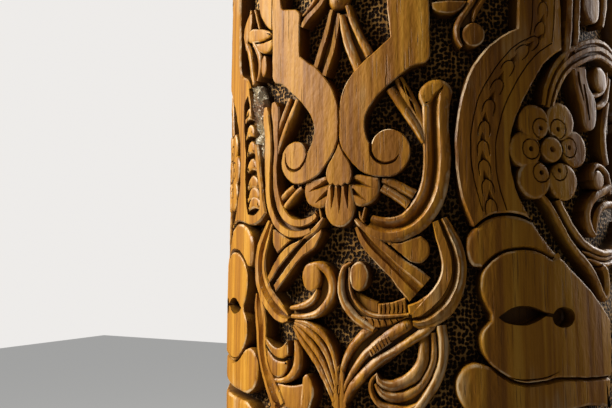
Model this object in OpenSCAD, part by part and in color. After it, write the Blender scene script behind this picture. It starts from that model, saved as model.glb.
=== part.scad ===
// Carved round wooden veranda column on a stone base, with its capital and bolster.
// The origin is the middle of the underside of the stone plinth, and +Z is up.
// The front of the column faces -Y. Lengths are in millimetres.

/* [Stone base] */
// Side of the square plinth
plinth_w = 430; // [380:5:520]
// Height of the plinth
plinth_h = 110; // [80:5:200]
// Bevel along the plinth's top edges
plinth_bevel = 12; // [4:1:20]
// Height of the round moulded base stone
base_h = 150; // [120:5:220]
// Largest radius of the base stone, at its lower roll
base_r = 196; // [176:2:210]

/* [Shaft] */
// Height of the turned foot between the stone and the carving
foot_h = 105; // [90:5:160]
// Radius of the carved face at the shaft's fullest point
swell_r = 126; // [110:1:140]
// Height of that fullest point above the stone
swell_h = 600; // [300:10:900]
// Loss of radius one pattern unit above or below the fullest point
swell_loss = 0.7; // [0.2:0.1:0.9]
// Depth of the carving, from its face to the stippled ground
relief_d = 9; // [5:0.5:12]
// Height of one pattern unit, between two mirror lines
unit_h = 240; // [220:5:280]
// Number of pattern units up the shaft, each the mirror image of the last
units = 8; // [4:2:8]

/* [Capital] */
// Height of the turned necking rings above the carving
neck_h = 70; // [50:5:110]
// Height of the flared bell
bell_h = 190; // [150:5:260]
// Radius at the top of the bell
bell_r = 168; // [150:2:176]
// Number of upright leaves around the bell
bell_leaves = 12; // [8:2:16]
// Side of the square abacus
abacus_w = 370; // [360:5:420]
// Thickness of the abacus
abacus_h = 45; // [30:1:70]
// Bevel along the abacus's lower edges
abacus_bevel = 10; // [4:1:14]
// Length of the bolster under the beam
bolster_l = 760; // [560:10:1000]
// Width of the bolster
bolster_w = 210; // [160:5:260]
// Height of the bolster
bolster_h = 120; // [90:5:160]

/* [Hidden] */
$fn = 72;

wood = [0.66, 0.43, 0.20];
wood_dark = [0.36, 0.22, 0.10];
wood_light = [0.74, 0.52, 0.27];
stone = [0.72, 0.70, 0.66];

// Heights where one piece ends and the next begins
stone_top = plinth_h + base_h;
field_z = stone_top + foot_h;
field_top = field_z + units * unit_h;
neck_top = field_top + neck_h;
bell_top = neck_top + bell_h;
abacus_top = bell_top + abacus_h;

// Radius at which the pattern's own widths are true
pattern_r = 125;
// Height of the plain band at each end of the carving
band_h = 14;
// How far the plain bands stand out past the carved face
band_out = 4;

// Radius of the carved face at a height on the shaft
function face_r(z) = swell_r - swell_loss * pow((z - stone_top - swell_h) / unit_h, 2);
function line_z(i) = field_z + i * unit_h;
// Between two mirror lines the shaft is a plain cone
function cone_r(i, z) =
    let (low = face_r(line_z(i)), high = face_r(line_z(i + 1)))
    low + (high - low) * (z - line_z(i)) / unit_h;

// A point of the pattern: u runs around the shaft from the panel's middle, t up from the
// unit's lower mirror line. Every second unit is upside down.
pattern_h = 240;
function turn(u) = u / pattern_r * 180 / PI;
function height(i, t) = line_z(i) + unit_h / pattern_h * (i % 2 == 0 ? pattern_h - t : t);
function spot(i, dir, p) =
    let (z = height(i, p[1]))
    [cone_r(i, z) * sin(turn(p[0]) - dir), z];

// The two edges of a strap whose points hold [u, t, width]
function side(p, k, way) =
    let (a = p[max(k - 1, 0)], b = p[min(k + 1, len(p) - 1)], d = [b[0] - a[0], b[1] - a[1]])
    [p[k][0], p[k][1]] + way * p[k][2] / 2 * [-d[1], d[0]] / norm(d);
function strap(p) =
    let (n = len(p) - 1)
    concat([for (k = [0 : n]) side(p, k, 1)], [for (k = [n : -1 : 0]) side(p, k, -1)]);

// The sleeve of wood between ground and face within one unit
module sleeve(i) {
    z0 = line_z(i);
    z1 = line_z(i + 1);
    rotate_extrude()
        polygon([
            [cone_r(i, z0) - relief_d, z0], [cone_r(i, z0), z0],
            [cone_r(i, z1), z1], [cone_r(i, z1) - relief_d, z1]
        ]);
}

// Straight cut through the sleeve along the direction dir
module cut(dir) {
    rotate([0, 0, dir]) rotate([90, 0, 0]) linear_extrude(swell_r + 1) children();
}

module outline(i, dir, points) {
    polygon([for (p = points) spot(i, dir, p)]);
}

// Small disc, cut with eight flats
module disc(i, dir, at, r) {
    translate(spot(i, dir, at)) rotate(22.5) circle(r, $fn = 8);
}

module both_sides() {
    children();
    mirror([1, 0, 0]) children();
}

module front_and_back() {
    children();
    mirror([0, 1, 0]) children();
}

// Directions in which the parts of the front and of the side panels are cut
front_dir = 14;
band_dir = 38;
side_dir = 48;

// Flat border of the front panel, from the straight stretch to its volute
border_strap = [
    [37, 240, 20], [37, 186, 20], [32, 177, 19.4], [22, 169.6, 18], [12, 161, 15.4],
    [7.4, 149, 13.6], [7.4, 137, 13.8], [11, 126.6, 13], [19, 121.4, 12], [29, 121.4, 8]
];
volute_at = [26, 131];
volute_r = 10;

module borders() {
    for (i = [0 : units - 1]) both_sides() intersection() {
        sleeve(i);
        cut(front_dir) union() {
            outline(i, front_dir, strap(border_strap));
            disc(i, front_dir, volute_at, volute_r);
        }
    }
}

// Bud, palmette and ball on the axis of the front panel
bud = [[0, 129.6], [3.4, 122.4], [5.6, 118], [4, 114.2], [-4, 114.2], [-5.6, 118], [-3.4, 122.4]];
petal = [[-6, 112], [0, 112.6], [6, 112], [8.4, 103], [5, 95], [0, 92], [-5, 95], [-8.4, 103]];
side_petal = [[8, 115], [15, 114], [20, 115.6], [21.6, 110], [19, 105], [13, 102.6], [9, 105]];
ball_at = [0, 208];
ball_r = 5;

module palmettes() {
    for (i = [0 : units - 1]) intersection() {
        sleeve(i);
        cut(0) union() {
            outline(i, 0, bud);
            outline(i, 0, petal);
            both_sides() outline(i, 0, side_petal);
            disc(i, 0, ball_at, ball_r);
        }
    }
}

// Strapwork rings and the diagonals between them
ring_strap = [
    [50, 161, 12], [50.2, 146, 13], [50, 130, 13.4], [49.2, 116, 13.4], [45.5, 103, 13.6],
    [38, 94.5, 13.4], [27, 90.3, 12.4], [12, 92.5, 9]
];
fork_strap = [[28, 161, 8.6], [36, 148, 8.6], [44, 134, 8]];
diagonal_strap = [[9, 94, 5], [17, 85, 11], [29, 72, 13], [41, 60, 13]];
lower_strap = [
    [52, 92, 10], [56, 82, 11], [56.4, 70, 11.6], [52, 58, 13.4], [43, 49, 15],
    [29, 41.6, 14], [13, 29, 12], [3, 12, 10], [0, 3, 9]
];
a_strap = [[3.6, 203, 8], [13, 177, 9]];

module ribbons() {
    for (i = [0 : units - 1]) both_sides() intersection() {
        sleeve(i);
        cut(front_dir) ribbon_outlines(i);
    }
}

module ribbon_outlines(i) {
    outline(i, front_dir, strap(ring_strap));
    outline(i, front_dir, strap(fork_strap));
    outline(i, front_dir, strap(diagonal_strap));
    outline(i, front_dir, strap(lower_strap));
    outline(i, front_dir, strap(a_strap));
}

// Scrolls below the rings and in the gap beside the border
loop_strap = [[2.6, 71, 5], [2, 61, 6.6], [6, 52, 7], [14, 48, 7], [26, 49, 7]];
loop_disc_at = [10.4, 68];
loop_disc_r = 6.4;
crescent_strap = [
    [51.6, 40, 6], [50.4, 33, 10], [46, 23, 12], [37, 15.6, 12], [27, 13.6, 10], [18, 16.6, 6]
];
gap_disc_at = [69, 186.6];
gap_disc_r = 6.4;
gap_strap = [[53, 201, 7], [67, 201, 7]];

module scrolls() {
    for (i = [0 : units - 1]) both_sides() intersection() {
        sleeve(i);
        union() {
            cut(front_dir) difference() {
                union() {
                    outline(i, front_dir, strap(loop_strap));
                    disc(i, front_dir, loop_disc_at, loop_disc_r);
                    outline(i, front_dir, strap(crescent_strap));
                }
                ribbon_outlines(i);
            }
            cut(band_dir) union() {
                disc(i, band_dir, gap_disc_at, gap_disc_r);
                outline(i, band_dir, strap(gap_strap));
            }
        }
    }
}

// Broad band that frames the cartouche of a side panel
cartouche_strap = [
    [106, 240, 26], [106, 194, 26], [99, 184, 25.6], [88.4, 173, 25], [80, 158, 25],
    [74.6, 141, 25.4], [73.6, 124, 25.6], [75.6, 108, 26.4], [82, 90, 29]
];

module cartouches() {
    for (i = [0 : units - 1]) front_and_back() intersection() {
        sleeve(i);
        cut(band_dir) difference() {
            outline(i, band_dir, strap(cartouche_strap));
            outline(i, band_dir, top_lobe);
        }
    }
}

// Great leaf under the band: a top lobe, and two lobes joined past an eye
top_lobe = [
    [68, 90], [74, 95], [84, 97], [96, 94], [105, 88], [114, 79], [107, 77.4], [92, 82.6],
    [79, 79.4], [71, 73], [66.6, 80]
];
mid_lobe = [
    [75, 49], [70.6, 57], [70, 65], [73, 72.6], [80, 78.4], [92, 81], [107, 76], [114, 78],
    [134, 62], [151, 45], [148, 30], [130, 18], [108, 20], [106, 49], [96, 53.4], [84, 53]
];
low_lobe = [
    [75, 48], [69.4, 41], [69, 34], [74, 25], [83, 19], [108, 20], [106, 49], [96, 45.4], [84, 45.4]
];
foot_lobe = [
    [57, 18], [60, 25], [67, 28.6], [73, 24.6], [83, 18], [98, 16], [98, 3], [75, 1], [61, 8]
];
eye_at = [114.6, 49];
eye_r = 6.2;

module leaves() {
    for (i = [0 : units - 1]) front_and_back() intersection() {
        sleeve(i);
        union() {
            cut(band_dir) outline(i, band_dir, top_lobe);
            cut(side_dir) difference() {
                union() {
                    outline(i, side_dir, mid_lobe);
                    outline(i, side_dir, low_lobe);
                    outline(i, side_dir, foot_lobe);
                }
                disc(i, side_dir, eye_at, eye_r);
            }
        }
    }
}

// Six-petalled flower inside the cartouche
flower_at = [113, 131];
flower_r = 23;
// Radius of the outline at points across one petal, as a share of the whole
petal_edge = [0.8, 0.96, 1, 0.96];
petal_step = 60 / len(petal_edge);
flower_outline = [for (a = [0 : 6 * len(petal_edge) - 1])
    flower_r * petal_edge[a % len(petal_edge)] * [cos((a + 2) * petal_step), sin((a + 2) * petal_step)]];

module flowers() {
    for (i = [0 : units - 1]) front_and_back() intersection() {
        sleeve(i);
        cut(side_dir) outline(i, side_dir, [for (p = flower_outline) flower_at + p]);
    }
}

// Stems and small scrolls inside the cartouche
arch_strap = [[109, 156, 9], [119, 170, 10], [134, 184, 10], [150, 191, 10], [166, 190, 10]];
low_strap = [[109, 105, 8], [121, 88, 10], [136, 78, 10], [152, 77, 10], [166, 80, 9]];
hook_strap = [[137, 90, 8], [139, 103, 9], [149, 109, 9], [164, 106, 9]];
side_disc_at = [147, 117];
side_disc_r = 7;
top_disc_at = [154, 170];
top_disc_r = 9;

module stems() {
    for (i = [0 : units - 1]) front_and_back() intersection() {
        sleeve(i);
        cut(side_dir) union() {
            outline(i, side_dir, strap(arch_strap));
            outline(i, side_dir, strap(low_strap));
            outline(i, side_dir, strap(hook_strap));
            disc(i, side_dir, side_disc_at, side_disc_r);
            disc(i, side_dir, top_disc_at, top_disc_r);
        }
    }
}

// Palmette on the middle line of a side panel, above and below a round boss. Its points
// hold their distance from that line.
crest_leaf = [[0, 150], [10, 136], [14, 120], [9, 108], [-9, 108], [-14, 120], [-10, 136]];
crest_foot = [[0, 64], [10, 72], [13, 86], [8, 98], [-8, 98], [-13, 86], [-10, 72]];
crest_top = [[0, 234], [8, 222], [9, 206], [0, 196], [-9, 206], [-8, 222]];
crest_low = [[0, 50], [9, 38], [12, 22], [0, 6], [-12, 22], [-9, 38]];
boss_at = [0, 172];
boss_r = 12;

module crests() {
    for (i = [0 : units - 1]) rotate([0, 0, 90]) intersection() {
        sleeve(i);
        cut(0) union() {
            outline(i, 0, crest_leaf);
            outline(i, 0, crest_foot);
            outline(i, 0, crest_top);
            outline(i, 0, crest_low);
            disc(i, 0, boss_at, boss_r);
        }
    }
}

// A square block with bevelled top edges
module bevelled_block(w, h, bevel) {
    rotate([90, 0, 0]) translate([0, 0, -w / 2])
        intersection() {
            linear_extrude(w) bevelled_side(w / 2, h, bevel);
            translate([0, 0, w / 2]) rotate([0, 90, 0]) translate([0, 0, -w / 2])
                linear_extrude(w) bevelled_side(w / 2, h, bevel);
        }
}

module bevelled_side(half, h, bevel) {
    polygon([
        [-half, 0], [half, 0], [half, h - bevel], [half - bevel, h],
        [bevel - half, h], [-half, h - bevel]
    ]);
}

module plinth() {
    color(stone) bevelled_block(plinth_w, plinth_h, plinth_bevel);
}

// A half-round moulding: points of a roll from one height to another
function roll(r, z0, z1, out, step = 15) =
    [for (a = [-90 : step : 90]) [r + out * cos(a), (z0 + z1) / 2 + (z1 - z0) / 2 * sin(a)]];
function hollow(r0, z0, r1, z1) =
    [for (a = [0 : 15 : 90]) [r1 + (r0 - r1) * (1 - sin(a)), z0 + (z1 - z0) * (1 - cos(a))]];

foot_r = face_r(stone_top);
base_top_r = foot_r + 22;
lower_roll = 0.3;
upper_roll = 0.8;

module base_stone() {
    z0 = plinth_h;
    color(stone) rotate_extrude() polygon(concat(
        [[0, z0]],
        roll(base_r - 20, z0, z0 + lower_roll * base_h, 20),
        hollow(base_r - 20, z0 + lower_roll * base_h, base_top_r - 8, z0 + upper_roll * base_h),
        roll(base_top_r - 10, z0 + upper_roll * base_h, z0 + base_h, 10),
        [[0, z0 + base_h]]
    ));
}

// Turned foot: a roll, a pot-shaped swelling and a fillet under the carving
pot_in = 16;

module foot_turning() {
    z0 = stone_top;
    z2 = field_z - band_h;
    z1 = z0 + 0.26 * (z2 - z0);
    color(wood) rotate_extrude() polygon(concat(
        [[0, z0]],
        roll(foot_r - pot_in, z0, z1, pot_in * 0.8),
        roll(foot_r - pot_in, z1, z2, pot_in * 0.6, 30),
        [[0, z2]]
    ));
}

module lower_band() {
    color(wood_light) translate([0, 0, field_z - band_h])
        cylinder(h = band_h, r = face_r(field_z) + band_out);
}

// Upright leaves standing on the pot of the foot
foot_leaf_count = 16;
foot_leaf_out = 5;

module foot_leaves() {
    z2 = field_z - band_h;
    z1 = stone_top + 0.26 * (z2 - stone_top);
    h = z2 - z1;
    w = 0.86 * 2 * PI * foot_r / foot_leaf_count;
    color(wood) difference() {
        intersection() {
            rotate_extrude() polygon(roll(foot_r - pot_in, z1, z2, pot_in * 0.6 + foot_leaf_out, 30));
            union() {
                for (k = [0 : foot_leaf_count - 1]) rotate([0, 0, k * 360 / foot_leaf_count])
                    cut(0) translate([0, z1]) leaf_shape(w, h);
            }
        }
        rotate_extrude() polygon(roll(foot_r - pot_in, z1, z2, pot_in * 0.6, 30));
    }
}

// Upright leaf with a pointed tip, standing on its foot
module leaf_shape(w, h) {
    polygon([
        [-0.32 * w, 0.08 * h], [0.32 * w, 0.08 * h], [0.48 * w, 0.4 * h], [0.34 * w, 0.7 * h],
        [0, 0.94 * h], [-0.34 * w, 0.7 * h], [-0.48 * w, 0.4 * h]
    ]);
}

// The trunk itself, cut back to the ground of the carving
module shaft() {
    color(wood_dark) rotate_extrude() polygon(concat(
        [[0, field_z]],
        [for (i = [0 : units]) [face_r(line_z(i)) - relief_d, line_z(i)]],
        [[0, field_top]]
    ));
}

module upper_band() {
    color(wood_light) translate([0, 0, field_top])
        cylinder(h = band_h, r = face_r(field_top) + band_out);
}

top_r = face_r(field_top);

module necking() {
    z0 = field_top + band_h;
    z1 = z0 + 0.4 * (neck_top - z0);
    color(wood) rotate_extrude() polygon(concat(
        [[0, z0]],
        roll(top_r - 8, z0, z1, 5),
        roll(top_r - 8, z1, neck_top, 14),
        [[0, neck_top]]
    ));
}

// Bell of the capital: it leaves the neck upright and flares to its lip
lip_h = 22;
function bell_edge(out) =
    [for (a = [0 : 10 : 90])
        [top_r - 8 + out + (bell_r - top_r + 8) * (1 - cos(a)),
        neck_top + (bell_top - lip_h - neck_top) * sin(a)]];

module bell() {
    color(wood) rotate_extrude() polygon(concat(
        [[0, neck_top]],
        bell_edge(0),
        [[bell_r, bell_top], [0, bell_top]]
    ));
}

bell_leaf_out = 8;

module bell_leaves_ring() {
    h = bell_h - lip_h;
    w = 0.98 * 2 * PI * top_r / bell_leaves;
    color(wood_light) intersection() {
        rotate_extrude() polygon(concat(
            bell_edge(0),
            [for (p = [len(bell_edge(0)) - 1 : -1 : 0]) bell_edge(bell_leaf_out)[p]]
        ));
        union() {
            for (k = [0 : bell_leaves - 1]) rotate([0, 0, k * 360 / bell_leaves])
                rotate([90, 0, 0]) linear_extrude(bell_r + 20) translate([0, neck_top])
                    bell_leaf_shape(w, h);
        }
    }
}

module bell_leaf_shape(w, h) {
    polygon([
        [-0.4 * w, 0.02 * h], [0.4 * w, 0.02 * h], [0.56 * w, 0.45 * h], [0.6 * w, 0.72 * h],
        [0, 0.97 * h], [-0.6 * w, 0.72 * h], [-0.56 * w, 0.45 * h]
    ]);
}

// The abacus has its bevel below
module abacus() {
    color(wood_light) translate([0, 0, abacus_top]) mirror([0, 0, 1])
        bevelled_block(abacus_w, abacus_h, abacus_bevel);
}

// Bolster: a short beam whose ends rise in a quarter round to a straight nose. The round
// starts under_l from the end, and the nose stands nose_l past it.
nose = 0.55;
module bolster() {
    l = bolster_l / 2;
    c = nose * bolster_h;
    under_l = 1.9 * c;
    nose_l = 0.7 * c;
    z0 = abacus_top;
    z1 = z0 + bolster_h;
    quarter = [for (a = [0 : 10 : 90])
        [l - under_l + (under_l - nose_l) * sin(a), z0 + c * (1 - cos(a))]];
    last = len(quarter) - 1;
    color(wood) rotate([90, 0, 0]) translate([0, 0, -bolster_w / 2]) linear_extrude(bolster_w)
        polygon(concat(
            quarter,
            [[l, z0 + c], [l, z1], [-l, z1], [-l, z0 + c]],
            [for (k = [last : -1 : 0]) [-quarter[k][0], quarter[k][1]]]
        ));
}

// Turned rosettes, one on each side of the two noses
scroll_out = 6;
module bolster_scrolls() {
    nose_h = (1 - nose) * bolster_h;
    r = nose_h / 2 - 5;
    x0 = bolster_l / 2 - nose_h / 2 - 6;
    color(wood_light) for (x = [-x0, x0], dir = [0, 180])
        translate([x, 0, abacus_top + bolster_h - nose_h / 2]) rotate([90, 0, dir])
            translate([0, 0, bolster_w / 2]) rotate_extrude() polygon([
                [0, 0], [r, 0], [r, 0.8 * scroll_out], [r - 1, scroll_out], [r - 4, scroll_out],
                [r - 5.5, 0.5 * scroll_out], [0.36 * r, 0.6 * scroll_out], [0.26 * r, scroll_out],
                [0, scroll_out]
            ]);
}

module front_borders() { color(wood_light) borders(); }
module back_borders() { color(wood_light) rotate([0, 0, 180]) borders(); }
module front_palmettes() { color(wood_light) palmettes(); }
module back_palmettes() { color(wood_light) rotate([0, 0, 180]) palmettes(); }
module front_ribbons() { color(wood) ribbons(); }
module back_ribbons() { color(wood) rotate([0, 0, 180]) ribbons(); }
module front_scrolls() { color(wood) scrolls(); }
module back_scrolls() { color(wood) rotate([0, 0, 180]) scrolls(); }
module right_cartouches() { color(wood_light) cartouches(); }
module left_cartouches() { color(wood_light) mirror([1, 0, 0]) cartouches(); }
module right_leaves() { color(wood) leaves(); }
module left_leaves() { color(wood) mirror([1, 0, 0]) leaves(); }
module right_flowers() { color(wood_light) flowers(); }
module left_flowers() { color(wood_light) mirror([1, 0, 0]) flowers(); }
module right_stems() { color(wood) stems(); }
module left_stems() { color(wood) mirror([1, 0, 0]) stems(); }
module right_crests() { color(wood_light) crests(); }
module left_crests() { color(wood_light) mirror([1, 0, 0]) crests(); }

plinth();
base_stone();
foot_turning();
foot_leaves();
shaft();
lower_band();
front_borders();
back_borders();
front_palmettes();
back_palmettes();
front_ribbons();
back_ribbons();
front_scrolls();
back_scrolls();
left_cartouches();
right_cartouches();
left_leaves();
right_leaves();
left_flowers();
right_flowers();
left_stems();
right_stems();
left_crests();
right_crests();
upper_band();
necking();
bell();
bell_leaves_ring();
abacus();
bolster();
bolster_scrolls();
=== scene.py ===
import math

import bmesh
import bpy
from mathutils import Matrix, Vector, noise


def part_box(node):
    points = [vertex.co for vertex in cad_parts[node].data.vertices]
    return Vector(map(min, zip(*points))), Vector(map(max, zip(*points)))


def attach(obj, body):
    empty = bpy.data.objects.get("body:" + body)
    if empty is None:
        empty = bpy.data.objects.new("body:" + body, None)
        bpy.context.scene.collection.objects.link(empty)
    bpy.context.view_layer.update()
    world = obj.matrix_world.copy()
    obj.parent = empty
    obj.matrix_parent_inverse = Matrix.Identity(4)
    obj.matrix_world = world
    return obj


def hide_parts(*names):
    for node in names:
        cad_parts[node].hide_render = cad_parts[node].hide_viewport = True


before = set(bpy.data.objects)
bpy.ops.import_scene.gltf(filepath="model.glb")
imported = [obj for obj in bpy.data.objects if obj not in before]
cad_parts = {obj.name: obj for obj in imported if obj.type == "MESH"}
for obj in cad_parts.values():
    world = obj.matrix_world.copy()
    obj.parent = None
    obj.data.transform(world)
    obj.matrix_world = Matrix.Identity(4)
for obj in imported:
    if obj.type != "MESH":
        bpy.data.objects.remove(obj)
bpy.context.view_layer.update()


# The camera stands close in front of the column at eye height and looks along its left side,
# as the photograph does. The lens is a mild wide one.
EYE = Vector((0.150, -0.440, 1.160))
LOOK_LEFT = math.radians(28.09)
LOOK_UP = math.radians(4.74)

camera_data = bpy.data.cameras.new("camera")
camera_data.sensor_width = 36
camera_data.lens = 41.18
camera_data.clip_start = 0.02
camera = bpy.data.objects.new("camera", camera_data)
camera.location = EYE
camera.rotation_euler = (math.pi / 2 + LOOK_UP, 0, LOOK_LEFT)
bpy.context.scene.collection.objects.link(camera)
bpy.context.scene.camera = camera
bpy.context.scene.view_settings.view_transform = "Standard"


# Shader maths is written as sums and products: a Tone is one output of a shader node, and each
# operation on it adds a Math node to its material.
class Tone:
    def __init__(self, tree, socket):
        self.tree = tree
        self.socket = socket

    def make(self, kind, inputs, output=0, stops=None, **settings):
        node = self.tree.nodes.new(kind)
        for name, value in settings.items():
            setattr(node, name, value)
        if stops:
            ramp = node.color_ramp
            while len(ramp.elements) < len(stops):
                ramp.elements.new(1)
            for element, (place, colour) in zip(ramp.elements, stops):
                element.position = place
                element.color = (*colour, 1)
        for name, value in inputs.items():
            if isinstance(value, Tone):
                self.tree.links.new(value.socket, node.inputs[name])
            else:
                node.inputs[name].default_value = value
        return Tone(self.tree, node.outputs[output])

    def math(self, operation, first, second=0.0):
        return self.make("ShaderNodeMath", {0: first, 1: second}, operation=operation)

    def __add__(self, other):
        return self.math("ADD", self, other)

    def __sub__(self, other):
        return self.math("SUBTRACT", self, other)

    def __mul__(self, other):
        return self.math("MULTIPLY", self, other)

    def __truediv__(self, other):
        return self.math("DIVIDE", self, other)

    def __pow__(self, other):
        return self.math("POWER", self, other)

    def __rsub__(self, other):
        return self.math("SUBTRACT", other, self)

    __radd__ = __add__
    __rmul__ = __mul__

    def between(self, low, high):
        """0 at low, 1 at high, with a smooth rise."""
        return self.make("ShaderNodeMapRange", {"Value": self, "From Min": low, "From Max": high},
                         interpolation_type="SMOOTHSTEP")

    def axis(self, index):
        return self.make("ShaderNodeSeparateXYZ", {"Vector": self}, output=index)

    def stretch(self, x, y, z):
        return self.make("ShaderNodeVectorMath", {0: self, 1: (x, y, z)}, operation="MULTIPLY")

    def noise(self, detail=3.0, rough=0.55, warp=0.0):
        return self.make("ShaderNodeTexNoise", {
            "Vector": self, "Scale": 1.0, "Detail": detail, "Roughness": rough, "Distortion": warp})

    def mix(self, first, second):
        """First colour where this is 0, second where it is 1."""
        return self.make("ShaderNodeMix", {0: self, 6: first, 7: second}, output=2,
                         data_type="RGBA", clamp_factor=True)


def new_material(name):
    """An empty node material: the material, its shader and the object's own coordinates."""
    material = bpy.data.materials.new(name)
    material.use_nodes = True
    tree = material.node_tree
    shader = tree.nodes["Principled BSDF"]
    place = Tone(tree, tree.nodes.new("ShaderNodeTexCoord").outputs["Object"])
    return material, shader, place


def coat(shader, colour, rough, shine, height, strength, depth):
    """Gives a shader its colour, its roughness, its share of shine and a bump."""
    bump = height.make("ShaderNodeBump", {
        "Height": height, "Strength": strength, "Distance": depth})
    for socket, tone in (("Base Color", colour), ("Roughness", rough), ("Normal", bump)):
        tone.tree.links.new(tone.socket, shader.inputs[socket])
    shader.inputs["Specular IOR Level"].default_value = shine


# The column stands on two blocks of pale stone: a square plinth with bevelled top edges, and a
# round base dressed with a roll, a hollow and a fillet. Both were pecked with a point chisel.
plinth_low, plinth_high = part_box("plinth")
base_low, base_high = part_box("base_stone")
PLINTH_BEVEL = 0.012
LOWER_ROLL, UPPER_ROLL = 0.3, 0.8
BASE_TOP_R = 0.1436
BASE_ROLL_OUT, TOP_ROLL_OUT = 0.020, 0.010
HOLLOW_IN = 0.008
STONE_SLICE = 0.0088
SPLASH_H = 0.09


def dressed_stone():
    """Pale limestone with grey clouds, brown weather stains, painted shade in its nooks and close
    chisel pits.
    """
    material, shader, place = new_material("dressed_stone")
    clouds = place.stretch(7, 7, 11).noise(5, 0.6, 0.6)
    grit = place.stretch(700, 700, 700).noise(3, 0.7)
    veins = place.stretch(14, 14, 30).noise(3, 0.5, 1.8)
    colour = clouds.between(0.3, 0.7).mix((0.50, 0.47, 0.42, 1), (0.66, 0.63, 0.57, 1))
    colour = (veins.between(0.60, 0.68) * 0.5).mix(colour, (0.42, 0.36, 0.28, 1))
    colour = (grit.between(0.55, 0.7) * 0.45).mix(colour, (0.36, 0.33, 0.29, 1))
    low_down = place.axis(2).between(SPLASH_H, 0.0)
    splash = low_down * place.stretch(16, 16, 6).noise(4, 0.65).between(0.4, 0.65)
    colour = (splash * 0.55).mix(colour, (0.34, 0.28, 0.21, 1))
    # Painted shade: an occlusion test darkens the stone in nooks and corners, where shade would
    # fall.
    painted_nook_shade = place.make("ShaderNodeAmbientOcclusion", {"Distance": 0.03}, output="AO", samples=4)
    colour = (painted_nook_shade.between(0.8, 0.3) * 0.5).mix(colour, (0.27, 0.23, 0.18, 1))
    pecks = place.make("ShaderNodeTexVoronoi", {
        "Vector": place.stretch(170, 170, 170), "Scale": 1.0})
    height = pecks.between(0.0, 0.5) + grit * 0.5
    coat(shader, colour, 0.7 + grit * 0.2, 0.25, height, 0.55, 0.0012)
    return material


def set_in_place(name, node, mesh, finish, crease=32, outward=True):
    """Makes the finished mesh a piece that stands for the CAD node, if it has one. Its faces
    are turned outward first, unless they are known to be."""
    data = bpy.data.meshes.new(name)
    if outward:
        bmesh.ops.recalc_face_normals(mesh, faces=mesh.faces)
    mesh.to_mesh(data)
    data.shade_smooth()
    data.set_sharp_from_angle(angle=math.radians(crease))
    data.materials.append(finish)
    piece = bpy.data.objects.new(name, data)
    bpy.context.scene.collection.objects.link(piece)
    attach(piece, "root")
    if node:
        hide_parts(node)


def slice_across(mesh, axis, pitch):
    """Cuts a mesh at each multiple of the pitch along an axis, so that it can bend or wear."""
    normal = [float(n == axis) for n in range(3)]
    reach = [v.co[axis] for v in mesh.verts]
    for n in range(math.ceil(min(reach) / pitch), math.ceil(max(reach) / pitch)):
        bmesh.ops.bisect_plane(mesh, geom=mesh.verts[:] + mesh.edges[:] + mesh.faces[:],
                               plane_co=[c * n * pitch for c in normal], plane_no=normal)


def wear(mesh, depth, scale):
    """Rubs a surface back unevenly, inwards only, by up to the given depth."""
    mesh.normal_update()
    for vert in mesh.verts:
        rough = 0.5 + 0.5 * noise.fractal(vert.co * scale, 0.8, 2.0, 4)
        vert.co -= vert.normal * depth * min(max(rough, 0), 1)


def roll(r, z0, z1, out, steps=12):
    """A half-round moulding between two heights, as (radius, height) points."""
    return [(r + out * math.cos(a), (z0 + z1) / 2 + (z1 - z0) / 2 * math.sin(a))
            for a in (math.pi * (n / steps - 0.5) for n in range(steps + 1))]


def turned(profile, steps=144):
    """A piece turned about the column's axis from the (radius, height) points of its outline."""
    mesh = bmesh.new()
    row = [mesh.verts.new((r, 0, z)) for r, z in profile]
    edges = [mesh.edges.new(pair) for pair in zip(row, row[1:])]
    bmesh.ops.spin(mesh, geom=row + edges, cent=(0, 0, 0), axis=(0, 0, 1),
                   angle=2 * math.pi, steps=steps, use_merge=True)
    bmesh.ops.remove_doubles(mesh, verts=mesh.verts, dist=1e-5)
    return mesh


stone_finish = dressed_stone()
plinth = bmesh.new()
bmesh.ops.create_cube(plinth, size=1)
bmesh.ops.scale(plinth, verts=plinth.verts, vec=plinth_high - plinth_low)
bmesh.ops.translate(plinth, verts=plinth.verts, vec=(plinth_low + plinth_high) / 2)
top_edges = [e for e in plinth.edges if min(v.co.z for v in e.verts) > plinth_high.z - 0.001]
bmesh.ops.bevel(plinth, geom=top_edges, offset=PLINTH_BEVEL, segments=1, profile=0.5,
                affect="EDGES", material=-1)
bmesh.ops.bevel(plinth, geom=[e for e in plinth.edges if e.calc_face_angle() > 0.3],
                offset=0.0025, segments=2, profile=0.5, affect="EDGES", material=-1)
for axis in range(3):
    slice_across(plinth, axis, STONE_SLICE)
wear(plinth, 0.0016, 22)
set_in_place("plinth_dressed", "plinth", plinth, stone_finish)

base_h = base_high.z - base_low.z
waist_low = base_low.z + LOWER_ROLL * base_h
waist_high = base_low.z + UPPER_ROLL * base_h
hollow = [(BASE_TOP_R - HOLLOW_IN
           + (base_high.x - BASE_ROLL_OUT - BASE_TOP_R + HOLLOW_IN) * (1 - math.sin(a)),
           waist_low + (waist_high - waist_low) * (1 - math.cos(a)))
          for a in (math.pi / 2 * n / 16 for n in range(17))]
base_stone = turned([
    (0, base_low.z),
    *roll(base_high.x - BASE_ROLL_OUT, base_low.z, waist_low, BASE_ROLL_OUT, 14), *hollow[1:],
    *roll(BASE_TOP_R - TOP_ROLL_OUT, waist_high, base_high.z, TOP_ROLL_OUT, 8),
    (0, base_high.z)])
wear(base_stone, 0.0012, 26)
set_in_place("base_stone_dressed", "base_stone", base_stone, stone_finish, 50)


# The trunk's foot was turned on a pole lathe: a roll, then a pot-shaped swelling. Upright
# leaves with a raised rib and cut veins stand around the pot.
foot_low, foot_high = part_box("foot_turning")
POT_IN = 0.016
FOOT_R = foot_high.x + 0.2 * POT_IN
ROLL_SHARE = 0.26
LEAF_SLICE = 5.0
LEAF_WAVER = 0.0002
FACE = 9.0  # height of the relief's face over the sunk ground, in millimetres
BASE = -1.2  # how deep each flat carving is rooted below that ground


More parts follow.
